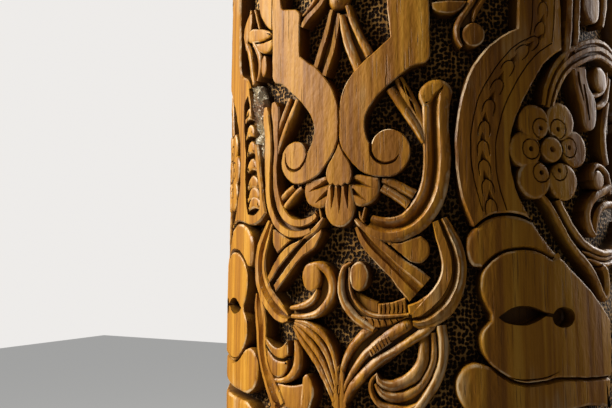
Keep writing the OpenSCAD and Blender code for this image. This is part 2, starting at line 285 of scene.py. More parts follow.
def wood_tones(place):
    """Grain shared by every wooden finish: streaks along the log, pores and slow changes."""
    streaks = place.stretch(330, 330, 8).noise(4, 0.6, 0.3)
    bands = place.stretch(80, 80, 1.8).noise(3, 0.5, 0.8)
    slow = place.stretch(9, 9, 5).noise(2)
    pores = place.stretch(900, 900, 34).noise(2, 0.6)
    return streaks, bands, slow, pores


def painted_hollow_shade(place, reach, low, high):
    """1 deep in the corners, 0 in the open: a mask for painted shade, which darkens the colour where
    the corners would lie in shade.
    """
    return place.make("ShaderNodeAmbientOcclusion", {"Distance": reach}, output="AO",
                      samples=6).between(high, low)


def grown_colour(streaks, bands, slow, pores):
    """Honey brown timber with darker summer streaks and short dark pores."""
    grain = streaks * 0.7 + bands * 0.9 + slow * 0.4
    colour = grain.make("ShaderNodeValToRGB", {"Fac": grain.between(0.7, 1.3)}, stops=[
        (0.0, (0.20, 0.066, 0.005)), (0.35, (0.38, 0.145, 0.009)), (0.7, (0.53, 0.225, 0.014)),
        (1.0, (0.66, 0.32, 0.034))])
    return (pores.between(0.60, 0.70) * 0.7).mix(colour, (0.18, 0.065, 0.006, 1))


def plain_wood(name, level=False):
    """Oiled plain timber with painted shade in its corners, worn pale along its edges. A level piece
    has its grain along x.
    """
    material, shader, place = new_material(name)
    along = place.make("ShaderNodeCombineXYZ", {
        "X": place.axis(2), "Y": place.axis(1), "Z": place.axis(0)}) if level else place
    streaks, bands, slow, pores = wood_tones(along)
    colour = grown_colour(streaks, bands, slow, pores)
    # Painted shade darkens the wood in its corners and hollows.
    colour = (painted_hollow_shade(place, 0.014, 0.35, 0.85) * 0.8).mix(colour, (0.07, 0.028, 0.008, 1))
    edges = place.make("ShaderNodeAmbientOcclusion", {"Distance": 0.004}, output="AO",
                       samples=4, inside=True).between(0.62, 0.35)
    rubbed = edges * place.stretch(50, 50, 50).noise(4, 0.7).between(0.45, 0.62)
    colour = (rubbed * 0.6).mix(colour, (0.62, 0.43, 0.22, 1))
    height = streaks * 0.5 - pores.between(0.6, 0.74) * 0.6 + bands * 0.6
    coat(shader, colour, 0.42 + streaks * 0.16 + rubbed * 0.15, 0.35, height, 0.5, 0.0008)
    return material


def smooth(points, step=1.6):
    """Points close together on a smooth line through the given ones. Each holds u and v, in
    millimetres around and up the shaft, and may hold more values, which are smoothed too."""
    line = []
    last = len(points) - 1
    for k in range(last):
        a, b, c, d = (points[min(max(k + j, 0), last)] for j in (-1, 0, 1, 2))
        count = max(1, round(math.dist(b[:2], c[:2]) / step))
        for s in (n / count for n in range(count)):
            line.append(tuple(
                0.5 * (2 * q + (r - p) * s + (2 * p - 5 * q + 4 * r - w) * s * s
                       + (3 * q - p - 3 * r + w) * s ** 3)
                for p, q, r, w in zip(a, b, c, d)))
    return line + [points[-1]]


def closed(curves, step):
    """The points of an outline made of smooth curves that meet at corners."""
    return [point for curve in curves for point in smooth(curve, step)[:-1]]


def pulled(mesh, faces):
    """Extrudes the faces without moving them, and gives the new vertices and faces."""
    grown = bmesh.ops.extrude_face_region(mesh, geom=faces)["geom"]
    return ([g for g in grown if isinstance(g, bmesh.types.BMVert)],
            [g for g in grown if isinstance(g, bmesh.types.BMFace)])


def slab(mesh, *curves, top=FACE, edge=0.5, round_over=False, step=1.6):
    """A flat raised piece inside a closed outline, with its edge chamfered or rounded."""
    face = mesh.faces.new([mesh.verts.new((p[0], p[1], BASE)) for p in closed(curves, step)])
    face.normal_update()
    if face.normal.z < 0:
        face.normal_flip()
    raised, lid = pulled(mesh, [face])
    bmesh.ops.translate(mesh, verts=raised, vec=(0, 0, top - edge - BASE))
    steps = ((0.2, 0.6), (0.5, 0.33), (0.8, 0.07)) if round_over else ((1.0, 1.0),)
    for out, up in steps:
        bmesh.ops.inset_region(mesh, faces=lid, thickness=edge * out, depth=edge * up,
                               use_even_offset=False)


def sweep(mesh, path, section):
    """A closed section run along a path of (u, v, width, x) points. The section is a function
    of x that gives its corners as (share of the width, height)."""
    place = mesh.verts.layers.int.get("place") or mesh.verts.layers.int.new("place")
    line = smooth(path, 2.2)
    for k, (u, v, width, x) in enumerate(line):
        before, after = line[max(k - 1, 0)], line[min(k + 1, len(line) - 1)]
        way = Vector((after[0] - before[0], after[1] - before[1])).normalized()
        corners = section(x)
        if k == 0:
            row = [mesh.verts.new((n, 0, 0)) for n in range(len(corners))]
            for index, vert in enumerate(row):
                vert[place] = index
            edges = [mesh.edges.new((row[n - 1], row[n])) for n in range(len(row))]
            mesh.faces.new(row)
        else:
            grown = bmesh.ops.extrude_edge_only(mesh, edges=edges)["geom"]
            row = [g for g in grown if isinstance(g, bmesh.types.BMVert)]
            ends = set(row)
            edges = [g for g in grown if isinstance(g, bmesh.types.BMEdge)
                     and ends.issuperset(g.verts)]
        for vert in row:
            across, up = corners[vert[place]]
            vert.co = (u - way.y * across * width, v + way.x * across * width, up)
    mesh.faces.new(sorted(row, key=lambda vert: vert[place]))


def gouge(mesh, path, top=FACE):
    """A V-shaped cutter along a path of (u, v, width, depth) points in a flat top."""
    sweep(mesh, path, lambda depth: (
        (-0.5, top + 0.1), (-0.5, top + 1), (0.5, top + 1), (0.5, top + 0.1), (0, top - depth)))


def carve(solid, cuts):
    """The solid with the cutters taken out of it, both drawn flat."""
    boxes = []
    for name, mesh in (("solid", solid), ("cuts", cuts)):
        bmesh.ops.recalc_face_normals(mesh, faces=mesh.faces)
        data = bpy.data.meshes.new(name)
        mesh.to_mesh(data)
        box = bpy.data.objects.new(name, data)
        bpy.context.scene.collection.objects.link(box)
        boxes.append(box)
    cut = boxes[0].modifiers.new("cut", "BOOLEAN")
    cut.operation = "DIFFERENCE"
    cut.solver = "MANIFOLD"
    cut.object = boxes[1]
    shown = boxes[0].evaluated_get(bpy.context.evaluated_depsgraph_get())
    carved = bmesh.new()
    carved.from_mesh(shown.to_mesh())
    for box in boxes:
        bpy.data.objects.remove(box)
    return carved


def gouged(solid, *paths, top=FACE):
    """The solid with a V-shaped groove taken out along each path."""
    cuts = bmesh.new()
    for path in paths:
        gouge(cuts, path, top)
    return carve(solid, cuts)


def veined(leaf, height, top, *veins):
    """The leaf with each vein cut on both sides of its rib. A vein's points give their place
    up the leaf as a share of its height."""
    for side in (-1, 1):
        for vein in veins:
            leaf = gouged(leaf, [(side * u, v * height, width, depth)
                                 for u, v, width, depth in vein], top=top)
    return leaf


def stand_around(flat, count, mean_r, radius_at, foot_z):
    """Copies of a flat carving set upright around the column and bent to its outline."""
    for axis in (0, 1):
        slice_across(flat, axis, LEAF_SLICE)
    bmesh.ops.recalc_face_normals(flat, faces=flat.faces)
    sheet = bpy.data.meshes.new("sheet")
    flat.to_mesh(sheet)
    whole = bmesh.new()
    for k in range(count):
        start = len(whole.verts)
        whole.from_mesh(sheet)
        whole.verts.ensure_lookup_table()
        for vert in whole.verts[start:]:
            u, v, w = vert.co
            z = foot_z + 0.001 * v
            angle = 2 * math.pi * k / count + 0.001 * u / mean_r
            radius = radius_at(z) + 0.001 * w
            spot = Vector((radius * math.sin(angle), -radius * math.cos(angle), z))
            vert.co = spot + LEAF_WAVER * noise.noise_vector(spot * 120)
    return whole


upright_wood = plain_wood("upright_wood")
pot_low = foot_low.z + ROLL_SHARE * (foot_high.z - foot_low.z)
foot_turning = turned([
    (0, foot_low.z),
    *roll(FOOT_R - POT_IN, foot_low.z, pot_low - 0.002, 0.8 * POT_IN, 14),
    (FOOT_R - POT_IN - 0.001, pot_low),
    *roll(FOOT_R - POT_IN, pot_low + 0.001, foot_high.z, 0.6 * POT_IN, 24)[1:],
    (0, foot_high.z)])
set_in_place("foot_turned", "foot_turning", foot_turning, upright_wood)


def pot_r(z):
    """Radius of the pot at a height."""
    share = (z - pot_low) / (foot_high.z - pot_low) * 2 - 1
    return FOOT_R - POT_IN + 0.6 * POT_IN * max(1 - share * share, 0) ** 0.5


LEAVES = 16
LEAF_OUT = 4.6
leaf_w = 2000 * math.pi * FOOT_R / LEAVES
leaf_h = 1000 * (foot_high.z - pot_low)
upright_leaf = bmesh.new()
right_edge = [(0.20 * leaf_w, 0.09 * leaf_h), (0.38 * leaf_w, 0.26 * leaf_h),
              (0.43 * leaf_w, 0.42 * leaf_h), (0.36 * leaf_w, 0.62 * leaf_h),
              (0.19 * leaf_w, 0.8 * leaf_h), (0, 0.95 * leaf_h)]
slab(upright_leaf, right_edge, [(-u, v) for u, v in reversed(right_edge)],
     [(-0.20 * leaf_w, 0.09 * leaf_h), (0, 0.06 * leaf_h), (0.20 * leaf_w, 0.09 * leaf_h)],
     top=LEAF_OUT, edge=1.3, round_over=True, step=2.4)
upright_leaf = veined(
    upright_leaf, leaf_h, LEAF_OUT,
    [(3, 0.12, 2.2, 1.6), (3.6, 0.4, 2.4, 2.0), (2.2, 0.7, 1.4, 1.2), (0.9, 0.86, 0.4, 0.2)],
    [(0.17 * leaf_w, 0.2, 1.4, 1.0), (0.29 * leaf_w, 0.42, 1.8, 1.3),
     (0.24 * leaf_w, 0.6, 1.4, 1.0), (0.12 * leaf_w, 0.76, 0.4, 0.2)])
set_in_place("foot_leaves_carved", "foot_leaves",
             stand_around(upright_leaf, LEAVES, FOOT_R, pot_r, pot_low),
             upright_wood)


# A plain band closes the carving at each end. The turner left two fine lines around each one,
# and the carver nicked a row of three-cornered notches between them.
BAND_ARRIS, BAND_LINE = 0.0016, 0.0012
NICK_IN, NICK_DEEP = 0.0014, 0.0016
for node in ("lower_band", "upper_band"):
    band_low, band_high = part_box(node)
    band_r, band_z = band_high.x, (band_low.z + band_high.z) / 2
    ring = turned([
        (0, band_low.z), (band_r - BAND_ARRIS, band_low.z), (band_r, band_low.z + BAND_ARRIS),
        (band_r, band_z - 0.0047), (band_r - BAND_LINE, band_z - 0.0042),
        (band_r, band_z - 0.0037), (band_r, band_z - 0.0024), (band_r, band_z + 0.0024),
        (band_r, band_z + 0.0037), (band_r - BAND_LINE, band_z + 0.0042),
        (band_r, band_z + 0.0047), (band_r, band_high.z - BAND_ARRIS),
        (band_r - BAND_ARRIS, band_high.z), (0, band_high.z)], 128)
    fields = [f for f in ring.faces if abs(f.calc_center_median().z - band_z) < 0.001
              and f.normal.z ** 2 < 0.5]
    bmesh.ops.recalc_face_normals(ring, faces=ring.faces)
    bmesh.ops.inset_individual(ring, faces=fields, thickness=0.0005, depth=0)
    bmesh.ops.inset_individual(ring, faces=fields, thickness=NICK_IN, depth=-NICK_DEEP)
    set_in_place(node + "_turned", node, ring, upright_wood)


# The trunk is one log of hard reddish timber, turned a little thicker at chest height. It is
# cut back 9 mm to a sunk ground, which the carver punches all over; painted shade in the punch
# marks and a painted highlight on their crests make it read dark.
shaft_low, shaft_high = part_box("shaft")
UNITS = 8
UNIT_H = (shaft_high.z - shaft_low.z) / UNITS
RELIEF = 0.009
SWELL_R = 0.126
SWELL_Z = 0.860
SWELL_LOSS = 0.0007
PATTERN_R = 125.0
PUNCH = 0.0022


def face_radius(z):
    """Radius of the carved face: the shaft is a plain cone between two mirror lines."""
    step = min(max(int((z - shaft_low.z) / UNIT_H), 0), UNITS - 1)
    low = shaft_low.z + step * UNIT_H
    low_r, high_r = (SWELL_R - SWELL_LOSS * ((h - SWELL_Z) / UNIT_H) ** 2
                     for h in (low, low + UNIT_H))
    return low_r + (high_r - low_r) * (z - low) / UNIT_H


def sunk_depth(place):
    """How far a point stands above the sunk ground, from 0 on the ground to 1 on the face."""
    x, y, z = place.axis(0), place.axis(1), place.axis(2)
    radius = (x * x + y * y) ** 0.5
    ground = SWELL_R - RELIEF - SWELL_LOSS * ((z - SWELL_Z) / UNIT_H) ** 2
    return (radius - ground) / RELIEF


def carved_wood(name, worn):
    """Oiled carved timber with painted shade low in the cuts, on its side walls and in its corners,
    and rubbed pale along its edges.
    """
    material, shader, place = new_material(name)
    streaks, bands, slow, pores = wood_tones(place)
    colour = grown_colour(streaks, bands, slow, pores)
    depth = sunk_depth(place)
    # Painted shade: the colour darkens towards the sunk ground, low in the cuts.
    colour = (depth.between(0.8, 0.2) * 0.85).mix(colour, (0.07, 0.028, 0.005, 1))
    outward = place.make("ShaderNodeNewGeometry", {}, output="Normal")
    radial = place.make("ShaderNodeVectorMath", {0: place.stretch(1, 1, 0)},
                        operation="NORMALIZE")
    facing = outward.make("ShaderNodeVectorMath", {0: outward, 1: radial}, output="Value",
                          operation="DOT_PRODUCT")
    # Painted shade: walls turned sideways, away from the front, are darkened.
    colour = (facing.between(0.4, 0.1) * 0.6).mix(colour, (0.05, 0.02, 0.004, 1))
    # Painted shade darkens the wood in corners and narrow cuts.
    colour = (painted_hollow_shade(place, 0.007, 0.2, 0.75) * 0.85).mix(colour, (0.04, 0.016, 0.004, 1))
    arris = facing.between(0.5, 0.75) * facing.between(0.985, 0.93)
    patchy = place.stretch(75, 75, 60).noise(4, 0.7).between(0.62 - worn, 0.76 - worn * 0.5)
    rubbed = arris * patchy * depth.between(0.7, 0.95)
    colour = (rubbed * 0.85).mix(colour, (0.84, 0.62, 0.36, 1))
    weathered = place.stretch(13, 13, 7).noise(4, 0.65).between(0.55, 0.66)
    weathered = weathered * streaks.between(0.35, 0.6) * depth.between(0.8, 0.95)
    colour = (weathered * 0.55).mix(colour, (0.60, 0.43, 0.25, 1))
    polish = facing.between(0.985, 0.93)
    rough = 0.48 - polish * 0.16 + streaks * 0.16 + rubbed * 0.15
    height = streaks * 0.4 - pores.between(0.6, 0.74) * 0.6 + bands * 0.6
    height = height + place.stretch(190, 190, 90).noise(3, 0.6) * 1.4
    coat(shader, colour, rough, 0.3, height, 0.55, 0.0008)
    return material


def punched_ground():
    """Sunk ground of the carving: close round punch marks with thin walls left between them, with
    painted shade in the marks and on their slopes and a painted highlight on the crests.
    """
    material, shader, place = new_material("punched_ground")
    around = place.make("ShaderNodeMath", {0: place.axis(0), 1: place.axis(1) * -1},
                        operation="ARCTAN2") * (PATTERN_R * 0.001)
    flat = place.make("ShaderNodeCombineXYZ", {"X": around / PUNCH, "Y": place.axis(2) / PUNCH})
    wander = place.stretch(140, 140, 140).noise(2) * 1.6
    flat = flat.make("ShaderNodeVectorMath", {0: flat, 1: wander}, operation="ADD")
    holes = flat.make("ShaderNodeTexVoronoi", {"Vector": flat, "Scale": 1.0, "Randomness": 0.55},
                      voronoi_dimensions="2D")
    land = holes.between(0.24, 0.48)
    crest = holes.between(0.42, 0.60)
    streaks, _, slow, _ = wood_tones(place)
    colour = (streaks * 0.6 + slow * 0.6).between(0.4, 0.9).mix(
        (0.42, 0.19, 0.035, 1), (0.80, 0.48, 0.15, 1))
    # Painted highlight and shade: the thin crests between the punch marks keep the pale grain tone,
    # their slopes turn dark brown.
    colour = crest.mix((0.10, 0.040, 0.008, 1), colour)
    # Painted shade: the punch marks, which are only a bump, are filled with near-black.
    colour = land.mix((0.012, 0.006, 0.003, 1), colour)
    # Painted shade darkens the ground in corners next to the relief.
    colour = (painted_hollow_shade(place, 0.014, 0.35, 0.78) * 0.85).mix(colour, (0.03, 0.013, 0.004, 1))
    coat(shader, colour, 0.9 - land * 0.25, 0.2, land + streaks * 0.15, 1.0, 0.0012)
    return material


ground_wood = punched_ground()
relief_wood = carved_wood("relief_wood", 0.19)
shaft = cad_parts["shaft"]
shaft.data.materials.clear()
shaft.data.materials.append(ground_wood)


# The broad flat borders of the front and back panels run down from one mirror line, close on
# the panel's middle and curl up into volutes. They are sawn flat, with their edges taken off.
# The left halves have a carver's second version, a little narrower and with a step.
PANEL_LOW = -75.0
PANEL_H = 240.0
SLICE = 4.0
WAVER = 0.00025
FRONT_RIGHT, FRONT_LEFT = (1, 1), (-1, 1)
BACK_RIGHT, BACK_LEFT = (1, -1), (-1, -1)


sheets = {}


def sliced(flat):
    """The mesh of a flat carving, cut every few millimetres so that it can bend."""
    if id(flat) not in sheets:
        slice_across(flat, 0, SLICE)
        bmesh.ops.recalc_face_normals(flat, faces=flat.faces)
        sheets[id(flat)] = bpy.data.meshes.new("sheet")
        flat.to_mesh(sheets[id(flat)])
    return sheets[id(flat)]


def wrap(name, node, finish, *halves):
    """Bends flat carvings around the shaft and lets the piece stand for the CAD node. Each half
    names a quarter of the shaft by the signs of x and -y, and the carvings that lie there,
    which are repeated for each unit of the height, or for the units named after them."""
    whole = bmesh.new()
    for (sign_x, sign_y), flats, *only in halves:
        for flat in flats:
            sheet = sliced(flat)
            for unit in only or range(UNITS):
                upright = unit % 2 == 1
                start = len(whole.verts)
                first_face = len(whole.faces)
                whole.from_mesh(sheet)
                whole.verts.ensure_lookup_table()
                for vert in whole.verts[start:]:
                    u, v, w = vert.co
                    share = (v - PANEL_LOW) / PANEL_H
                    share = share if upright else 1 - share
                    z = shaft_low.z + (unit + share) * UNIT_H
                    radius = face_radius(z) + 0.001 * (w - FACE)
                    angle = u / PATTERN_R
                    spot = Vector((sign_x * radius * math.sin(angle),
                                   -sign_y * radius * math.cos(angle), z))
                    vert.co = spot + WAVER * (noise.noise_vector(spot * 110)
                                              + 0.8 * noise.noise_vector(spot * 300))
                if (sign_x * sign_y > 0) != upright:
                    whole.faces.ensure_lookup_table()
                    bmesh.ops.reverse_faces(whole, faces=whole.faces[first_face:])
    set_in_place(name, node, whole, finish, outward=False)


border = bmesh.new()
slab(border,
     [(47, 165), (47, 130), (47, 101)],
     [(47, 101), (45, 97.8), (38.5, 96.2), (33, 92.5), (28, 88.6), (24, 85), (18.6, 79.6),
      (14.6, 73), (13.8, 67), (15.4, 61), (17.4, 57.4)],
     [(17.4, 57.4), (19, 61.4), (22, 64.2), (26, 65.2), (30.6, 64), (34.6, 60.8), (36.8, 56),
      (36.2, 50), (33, 45), (28.6, 42), (24, 41.6), (18, 42.4), (12, 45), (8, 48.6), (3.4, 54.4),
      (0.5, 61), (0.3, 68), (0.3, 76), (1, 82), (3.4, 88.4), (8, 95), (15, 101.4), (21, 106),
      (27.6, 111.6)],
     [(27.6, 111.6), (26.8, 120), (26, 130), (26, 165)],
     [(26, 165), (47, 165)])
border = gouged(border, [
    (17.2, 59, 1.6, 2.6), (17.2, 54.6, 1.8, 2.6), (19, 50.8, 1.9, 2.6), (22.4, 48.4, 1.9, 2.4),
    (26, 48.2, 1.8, 2.2), (29.4, 49.6, 1.5, 1.6), (31.6, 52.6, 0.6, 0.3)])
other_border = bmesh.new()
slab(other_border,
     [(46.4, 165), (46, 130), (45.6, 101)],
     [(45.6, 101), (43.6, 97.6), (38, 95.8), (32, 91.6), (26, 86.4), (20.4, 80.6), (16.6, 75.4),
      (14.6, 70), (14.8, 65), (16.8, 60), (19.4, 55.4)],
     [(19.4, 55.4), (20.6, 59.2), (23, 62), (27, 63.2), (31.4, 62.2), (35.2, 59), (37.2, 54.4),
      (36.8, 49.6), (34.4, 45.6), (31, 42.4), (26, 40.4), (20, 41), (14, 43.4), (9, 47.4),
      (4, 54), (0.8, 61), (0.3, 68), (0.3, 76), (1.4, 82), (4, 88.6), (8.6, 95), (14, 101)],
     [(14, 101), (19, 104.4), (24.4, 108.6)],
     [(24.4, 108.6), (24.7, 120), (24.6, 132)], [(24.6, 132), (27, 134.6), (33.6, 136.2)],
     [(33.6, 136.2), (38, 138), (39, 143), (39.2, 165)], [(39.2, 165), (46.4, 165)])
other_border = gouged(other_border, [
    (19.2, 55.6, 1.2, 2.4), (20.4, 52.4, 1.7, 2.6), (23.6, 49, 1.9, 2.6), (27.6, 47.8, 1.9, 2.4),
    (31.4, 49.2, 1.8, 2.2), (33.8, 52.8, 1.4, 1.6), (34, 57.4, 0.6, 0.3)])
wrap("front_borders_carved", "front_borders", relief_wood,
     (FRONT_RIGHT, [border]), (FRONT_LEFT, [other_border]))
wrap("back_borders_carved", "back_borders", relief_wood,
     (BACK_LEFT, [border]), (BACK_RIGHT, [other_border]))


# On the panel's middle line a bud hangs between the two borders, with a grooved palmette of
# three petals under it and a ball above, cut clear of each other with a narrow chisel.
def pit(mesh, *curves, floor=1.5, top=FACE, step=2.2):
    """A cutter that sinks a hole with rounded lower edges."""
    above, cove = 1, 0.8
    face = mesh.faces.new([mesh.verts.new((p[0], p[1], top + above))
                           for p in closed(curves, step)])
    sunk, lid = pulled(mesh, [face])
    bmesh.ops.translate(mesh, verts=sunk, vec=(0, 0, floor + cove - top - above))
    bmesh.ops.inset_region(mesh, faces=lid, thickness=0.9, use_even_offset=False)
    bmesh.ops.translate(mesh, verts=lid[0].verts[:], vec=(0, 0, -cove))


def disc(u, v, r, r_v=None, turns=24):
    """The outline of a round or oval piece, as one closed curve."""
    r_v = r_v or r
    return [(u + r * math.cos(a), v + r_v * math.sin(a))
            for a in (2 * math.pi * n / turns for n in range(turns + 1))]


palmette = bmesh.new()
slab(palmette, [(0, 60.6), (2.6, 54.6), (6, 49.4), (7.4, 45), (6.8, 41.2)],
     [(6.8, 41.2), (5, 38.6), (3.4, 39.4)], [(3.4, 39.4), (1.7, 37.9), (0, 38.6)],
     [(0, 38.6), (-1.7, 37.9), (-3.4, 39.4)], [(-3.4, 39.4), (-5, 38.6), (-6.8, 41.2)],
     [(-6.8, 41.2), (-7.4, 45), (-6, 49.4), (-2.6, 54.6), (0, 60.6)], top=8.8, edge=0.5)
petal = bmesh.new()
slab(petal, [(-6.4, 39), (-7.8, 33), (-8.6, 27.6), (-7.4, 22), (-4, 18.2), (0, 17.2), (4, 18.2),
             (7.4, 22), (8.6, 27.6), (7.8, 33), (6.4, 39)], [(6.4, 39), (-6.4, 39)],
     top=8.0, edge=1.2, round_over=True)
petals = [gouged(petal, *[
    [(foot, 38.6, 3.0, 2.6), (foot, 34, 2.6, 2.2), (tip, low, 0.4, 0.2)]
    for foot, tip, low in ((-4, -4.8, 26.6), (0, -0.2, 24), (4, 4.6, 26.6))], top=8.0)]
for side in (1, -1):
    side_petal = bmesh.new()
    slab(side_petal, *[[(side * u, v) for u, v in curve] for curve in (
        [(6.4, 41), (8, 43.6), (13, 43), (21, 41.6)],
        [(21, 41.6), (21.6, 36.4), (20.2, 31.4), (16.6, 28.4), (12, 27.2), (8.4, 28.2)],
        [(8.4, 28.2), (5.6, 34), (6.4, 41)])], top=7.6, edge=1.2, round_over=True)
    petals.append(gouged(side_petal, *[
        [(side * u, v, width, depth) for u, v, width, depth in path] for path in (
            [(6.8, 40.4, 3.6, 3.0), (11, 38.8, 3.2, 2.4), (18.4, 36, 0.5, 0.2)],
            [(6.4, 35.6, 3.2, 2.6), (9.6, 33.4, 2.6, 2.0), (14.6, 30, 0.5, 0.2)])], top=7.6))
bmesh.ops.create_uvsphere(palmette, u_segments=20, v_segments=12, radius=1)
ball = palmette.verts[-(20 * 11 + 2):]
bmesh.ops.scale(palmette, verts=ball, vec=(6.8, 6.8, 5.2))
bmesh.ops.translate(palmette, verts=ball, vec=(-1.8, 136.4, 3.4))
wrap("front_palmettes_carved", "front_palmettes", relief_wood, (FRONT_RIGHT, [palmette, *petals]))
wrap("back_palmettes_carved", "back_palmettes", relief_wood, (BACK_RIGHT, [palmette, *petals]))


# Grooved straps loop into a ring at each side of the palmette, cross in a diagonal and meet in
# the middle of the mirror line. Each is a flat strap parted lengthwise by hollow channels. On
# the left halves the same straps are narrower and run in pairs.
def strap(mesh, path, profile, top=8.8):
    """A strap whose profile holds (share of the width, depth below the top) points. A path
    point may end in a share of the full height, where the strap dives under another."""
    path = [p if len(p) > 3 else (*p, 1.0) for p in path]
    sweep(mesh, path, lambda rise: (
        (-0.5, BASE), *((x, BASE + (top - depth - BASE) * rise) for x, depth in profile),
        (0.5, BASE)))


RIDGE = ((-0.5, 1.5), (-0.36, 0.42), (-0.26, 0.12), (-0.08, 0), (0.1, 0.05), (0.34, 0.6),
         (0.5, 1.5))
RING = ((-0.5, 1.4), (-0.44, 0.6), (-0.34, 0.5), (-0.24, 1.4), (-0.13, 3.0), (-0.07, 3.6),
        (-0.02, 3.1), (0.09, 0.5), (0.13, 0.05), (0.28, 0), (0.42, 0.4), (0.5, 1.4))
DIAGONAL = ((-0.5, 0.7), (-0.45, 0.1), (-0.18, 0), (-0.1, 1.7), (0.04, 2.2), (0.12, 0.6),
            (0.17, 0), (0.45, 0.1), (0.5, 0.7))
TROUGH = ((-0.5, 0.8), (-0.45, 0.1), (-0.24, 0.1), (-0.14, 1.6), (0.02, 2.6), (0.16, 1.6),
          (0.24, 0.1),
          (0.45, 0.1), (0.5, 0.8))
LOWER_RING = ((-0.5, 0.7), (-0.45, 0.1), (-0.12, 0), (-0.06, 2.6), (0.02, 3.0), (0.12, 0.6),
              (0.18, 0), (0.28, 0.2), (0.34, 0.7), (0.46, 0.7), (0.5, 1.3))
FLAT = ((-0.5, 0.9), (-0.4, 0.1), (0.36, 0), (0.5, 0.9))
OTHER_RING = ((-0.5, 0.9), (-0.44, 0.1), (-0.28, 0), (-0.16, 2.4), (0, 3.2), (0.1, 1.4),
              (0.16, 0.1), (0.44, 0), (0.5, 0.9))
BED = ((-0.5, 0.3), (0.5, 0.3))
TAIL = ([(0, -50), (0.8, -60), (0, -66)], [(0, -66), (0, -75)], [(0, -75), (4, -70)],
        [(4, -70), (2.6, -62), (2.4, -54), (0, -50)])

ribbons = bmesh.new()
strap(ribbons, [(50.2, 84, 13, 0.9), (49.9, 80, 13.8), (49.5, 74, 13.2), (49.4, 67, 12.8),
                (49.6, 58, 13), (49.8, 50, 13.4), (49, 41, 13.4), (46.8, 32, 13.4),
                (42.5, 24.5, 13.2), (37, 19, 12.8), (31, 16.2, 12.4), (25, 15.6, 12.2),
                (20, 16.6, 11.4), (15.6, 18.6, 9.4)], RING)
strap(ribbons, [(20, 12.6, 4), (15.4, 15.2, 4), (11, 18.6, 3.4), (8.6, 21, 2)], RIDGE, 8.4)
for chip in ([(13.6, 27, 1.2), (12.8, 24, 2), (12, 20.6, 2)],
             [(10.4, 25, 1), (11, 22, 1.8), (13, 19.4, 2)]):
    strap(ribbons, chip, RIDGE, 7)
knob = bmesh.new()
slab(knob, [(43.2, 75), (41.3, 79.6), (41.4, 83.6), (44.6, 87.6), (50.2, 89.3), (55.4, 87.6),
            (58.1, 83.4), (57.5, 79.4), (56, 75)], [(56, 75), (43.2, 75)],
     top=8.5, edge=1.8, round_over=True)
knob = gouged(knob, [(53.6, 86, 0.5, 0.3), (51.8, 83.6, 1.8, 2.0), (49.6, 80.6, 3.6, 3.0),
                     (48.6, 77.6, 5.4, 3.6), (48.5, 74, 6.4, 3.8)], top=8.5)

strap(ribbons, [(26.8, 85.4, 4.4), (31.4, 79.4, 4.8), (36.6, 71, 4.6), (41, 63.6, 4),
                (43.6, 58, 2.4)], RIDGE, 8.4)
strap(ribbons, [(28.4, 87.4, 8), (33, 80.4, 9), (38, 72.6, 8), (43, 64, 5)], BED, 5.0)
fork = bmesh.new()
strap(fork, [(31, 90.6, 4.6), (35, 82.6, 6), (38.9, 75.8, 5.6), (42.6, 68.6, 4.4),
             (44.6, 62, 2.4)], RIDGE, 7.6)
fork = gouged(fork, *[[(u, v, 0.6, 0.5), (u + 1.6, v - 4, 1.9, 2.4), (u + 3.6, v - 9, 0.4, 0.2)]
                      for u, v in ((31.4, 91), (34.4, 87), (36.4, 81))], top=7.6)

strap(ribbons, [(10.4, 18, 5), (15, 11.2, 8.6), (20, 6, 9.8), (25, 1.2, 10.4), (30, -3.3, 11.2),
                (34, -7, 13.4), (37.8, -10.6, 14.8), (40.6, -13.2, 15.4, 0.95)], DIAGONAL, 8.4)
slab(ribbons, [(25, 9.6), (30.6, 9.2), (36, 10.8), (41.4, 12.4)],
     [(41.4, 12.4), (44.8, 9.6), (45.6, 5), (44, 1.4), (40.4, -0.8), (36.2, 0.2)],
     [(36.2, 0.2), (31, 4.4), (25, 9.6)], top=7.8, edge=0.7, round_over=True)
strap(ribbons, [(22.6, 40.2, 3), (27, 39, 4.4), (32, 36.6, 4.6), (38.6, 32.6, 4.8)], RIDGE, 7.8)
strap(ribbons, [(22.4, 36.4, 4.6), (27.6, 33.4, 4.6), (32, 30.4, 4.6), (35.6, 27.6, 4.6)],
      RIDGE, 7.8)
strap(ribbons, [(24, 38, 5), (31, 34.6, 6), (37, 30.4, 6)], BED, 5.0)

strap(ribbons, [(50.4, 20.4, 7.4), (53, 14, 10), (56, 6, 11.6), (57.2, -1, 12), (56.8, -7, 12.4),
                (55, -12.6, 13.4), (51, -19, 14.6), (46, -23.6, 14), (42, -26, 12),
                (38.6, -27, 9), (36.8, -27.2, 6)], LOWER_RING, 8.9)
slab(ribbons, [(48.8, -11.4), (44.2, -15.6), (39.4, -18.6), (34.6, -20.4)],
     [(34.6, -20.4), (35, -24.6)], [(35, -24.6), (40, -26), (48, -20)],
     [(48, -20), (48.8, -11.4)], top=8.6, edge=0.7)

strap(ribbons, [(2.6, -68, 3), (6.6, -60.8, 4.8), (13.8, -53.2, 5), (21.2, -46.8, 4.6),
                (30, -41.2, 4.2), (37.6, -36.4, 4.2), (44, -32, 4.6), (49, -28, 4, 0.7)],
      RIDGE, 8.6)
strap(ribbons, [(0.8, -66, 2), (3.8, -58.4, 3), (8.8, -50.6, 3.6), (13.4, -45, 4), (17.8, -41, 4.4),
                (22.4, -37.6, 5), (27.6, -34, 5.6), (33.2, -30.6, 5.8), (36.4, -28.8, 5, 0.8)],
      RIDGE, 8.2)
strap(ribbons, [(-0.2, -64, 1.6), (1, -54, 2.8), (3.8, -46, 3.8), (8.6, -39, 4.4), (14, -34.4, 4.6),
                (19, -31.6, 3.4, 0.8)], RIDGE, 8.2)
strap(ribbons, [(3, -62, 8), (14, -46, 16), (27, -37, 15), (42, -28, 12)], BED, 4.6)
slab(ribbons, *TAIL, top=8.3, edge=0.4)

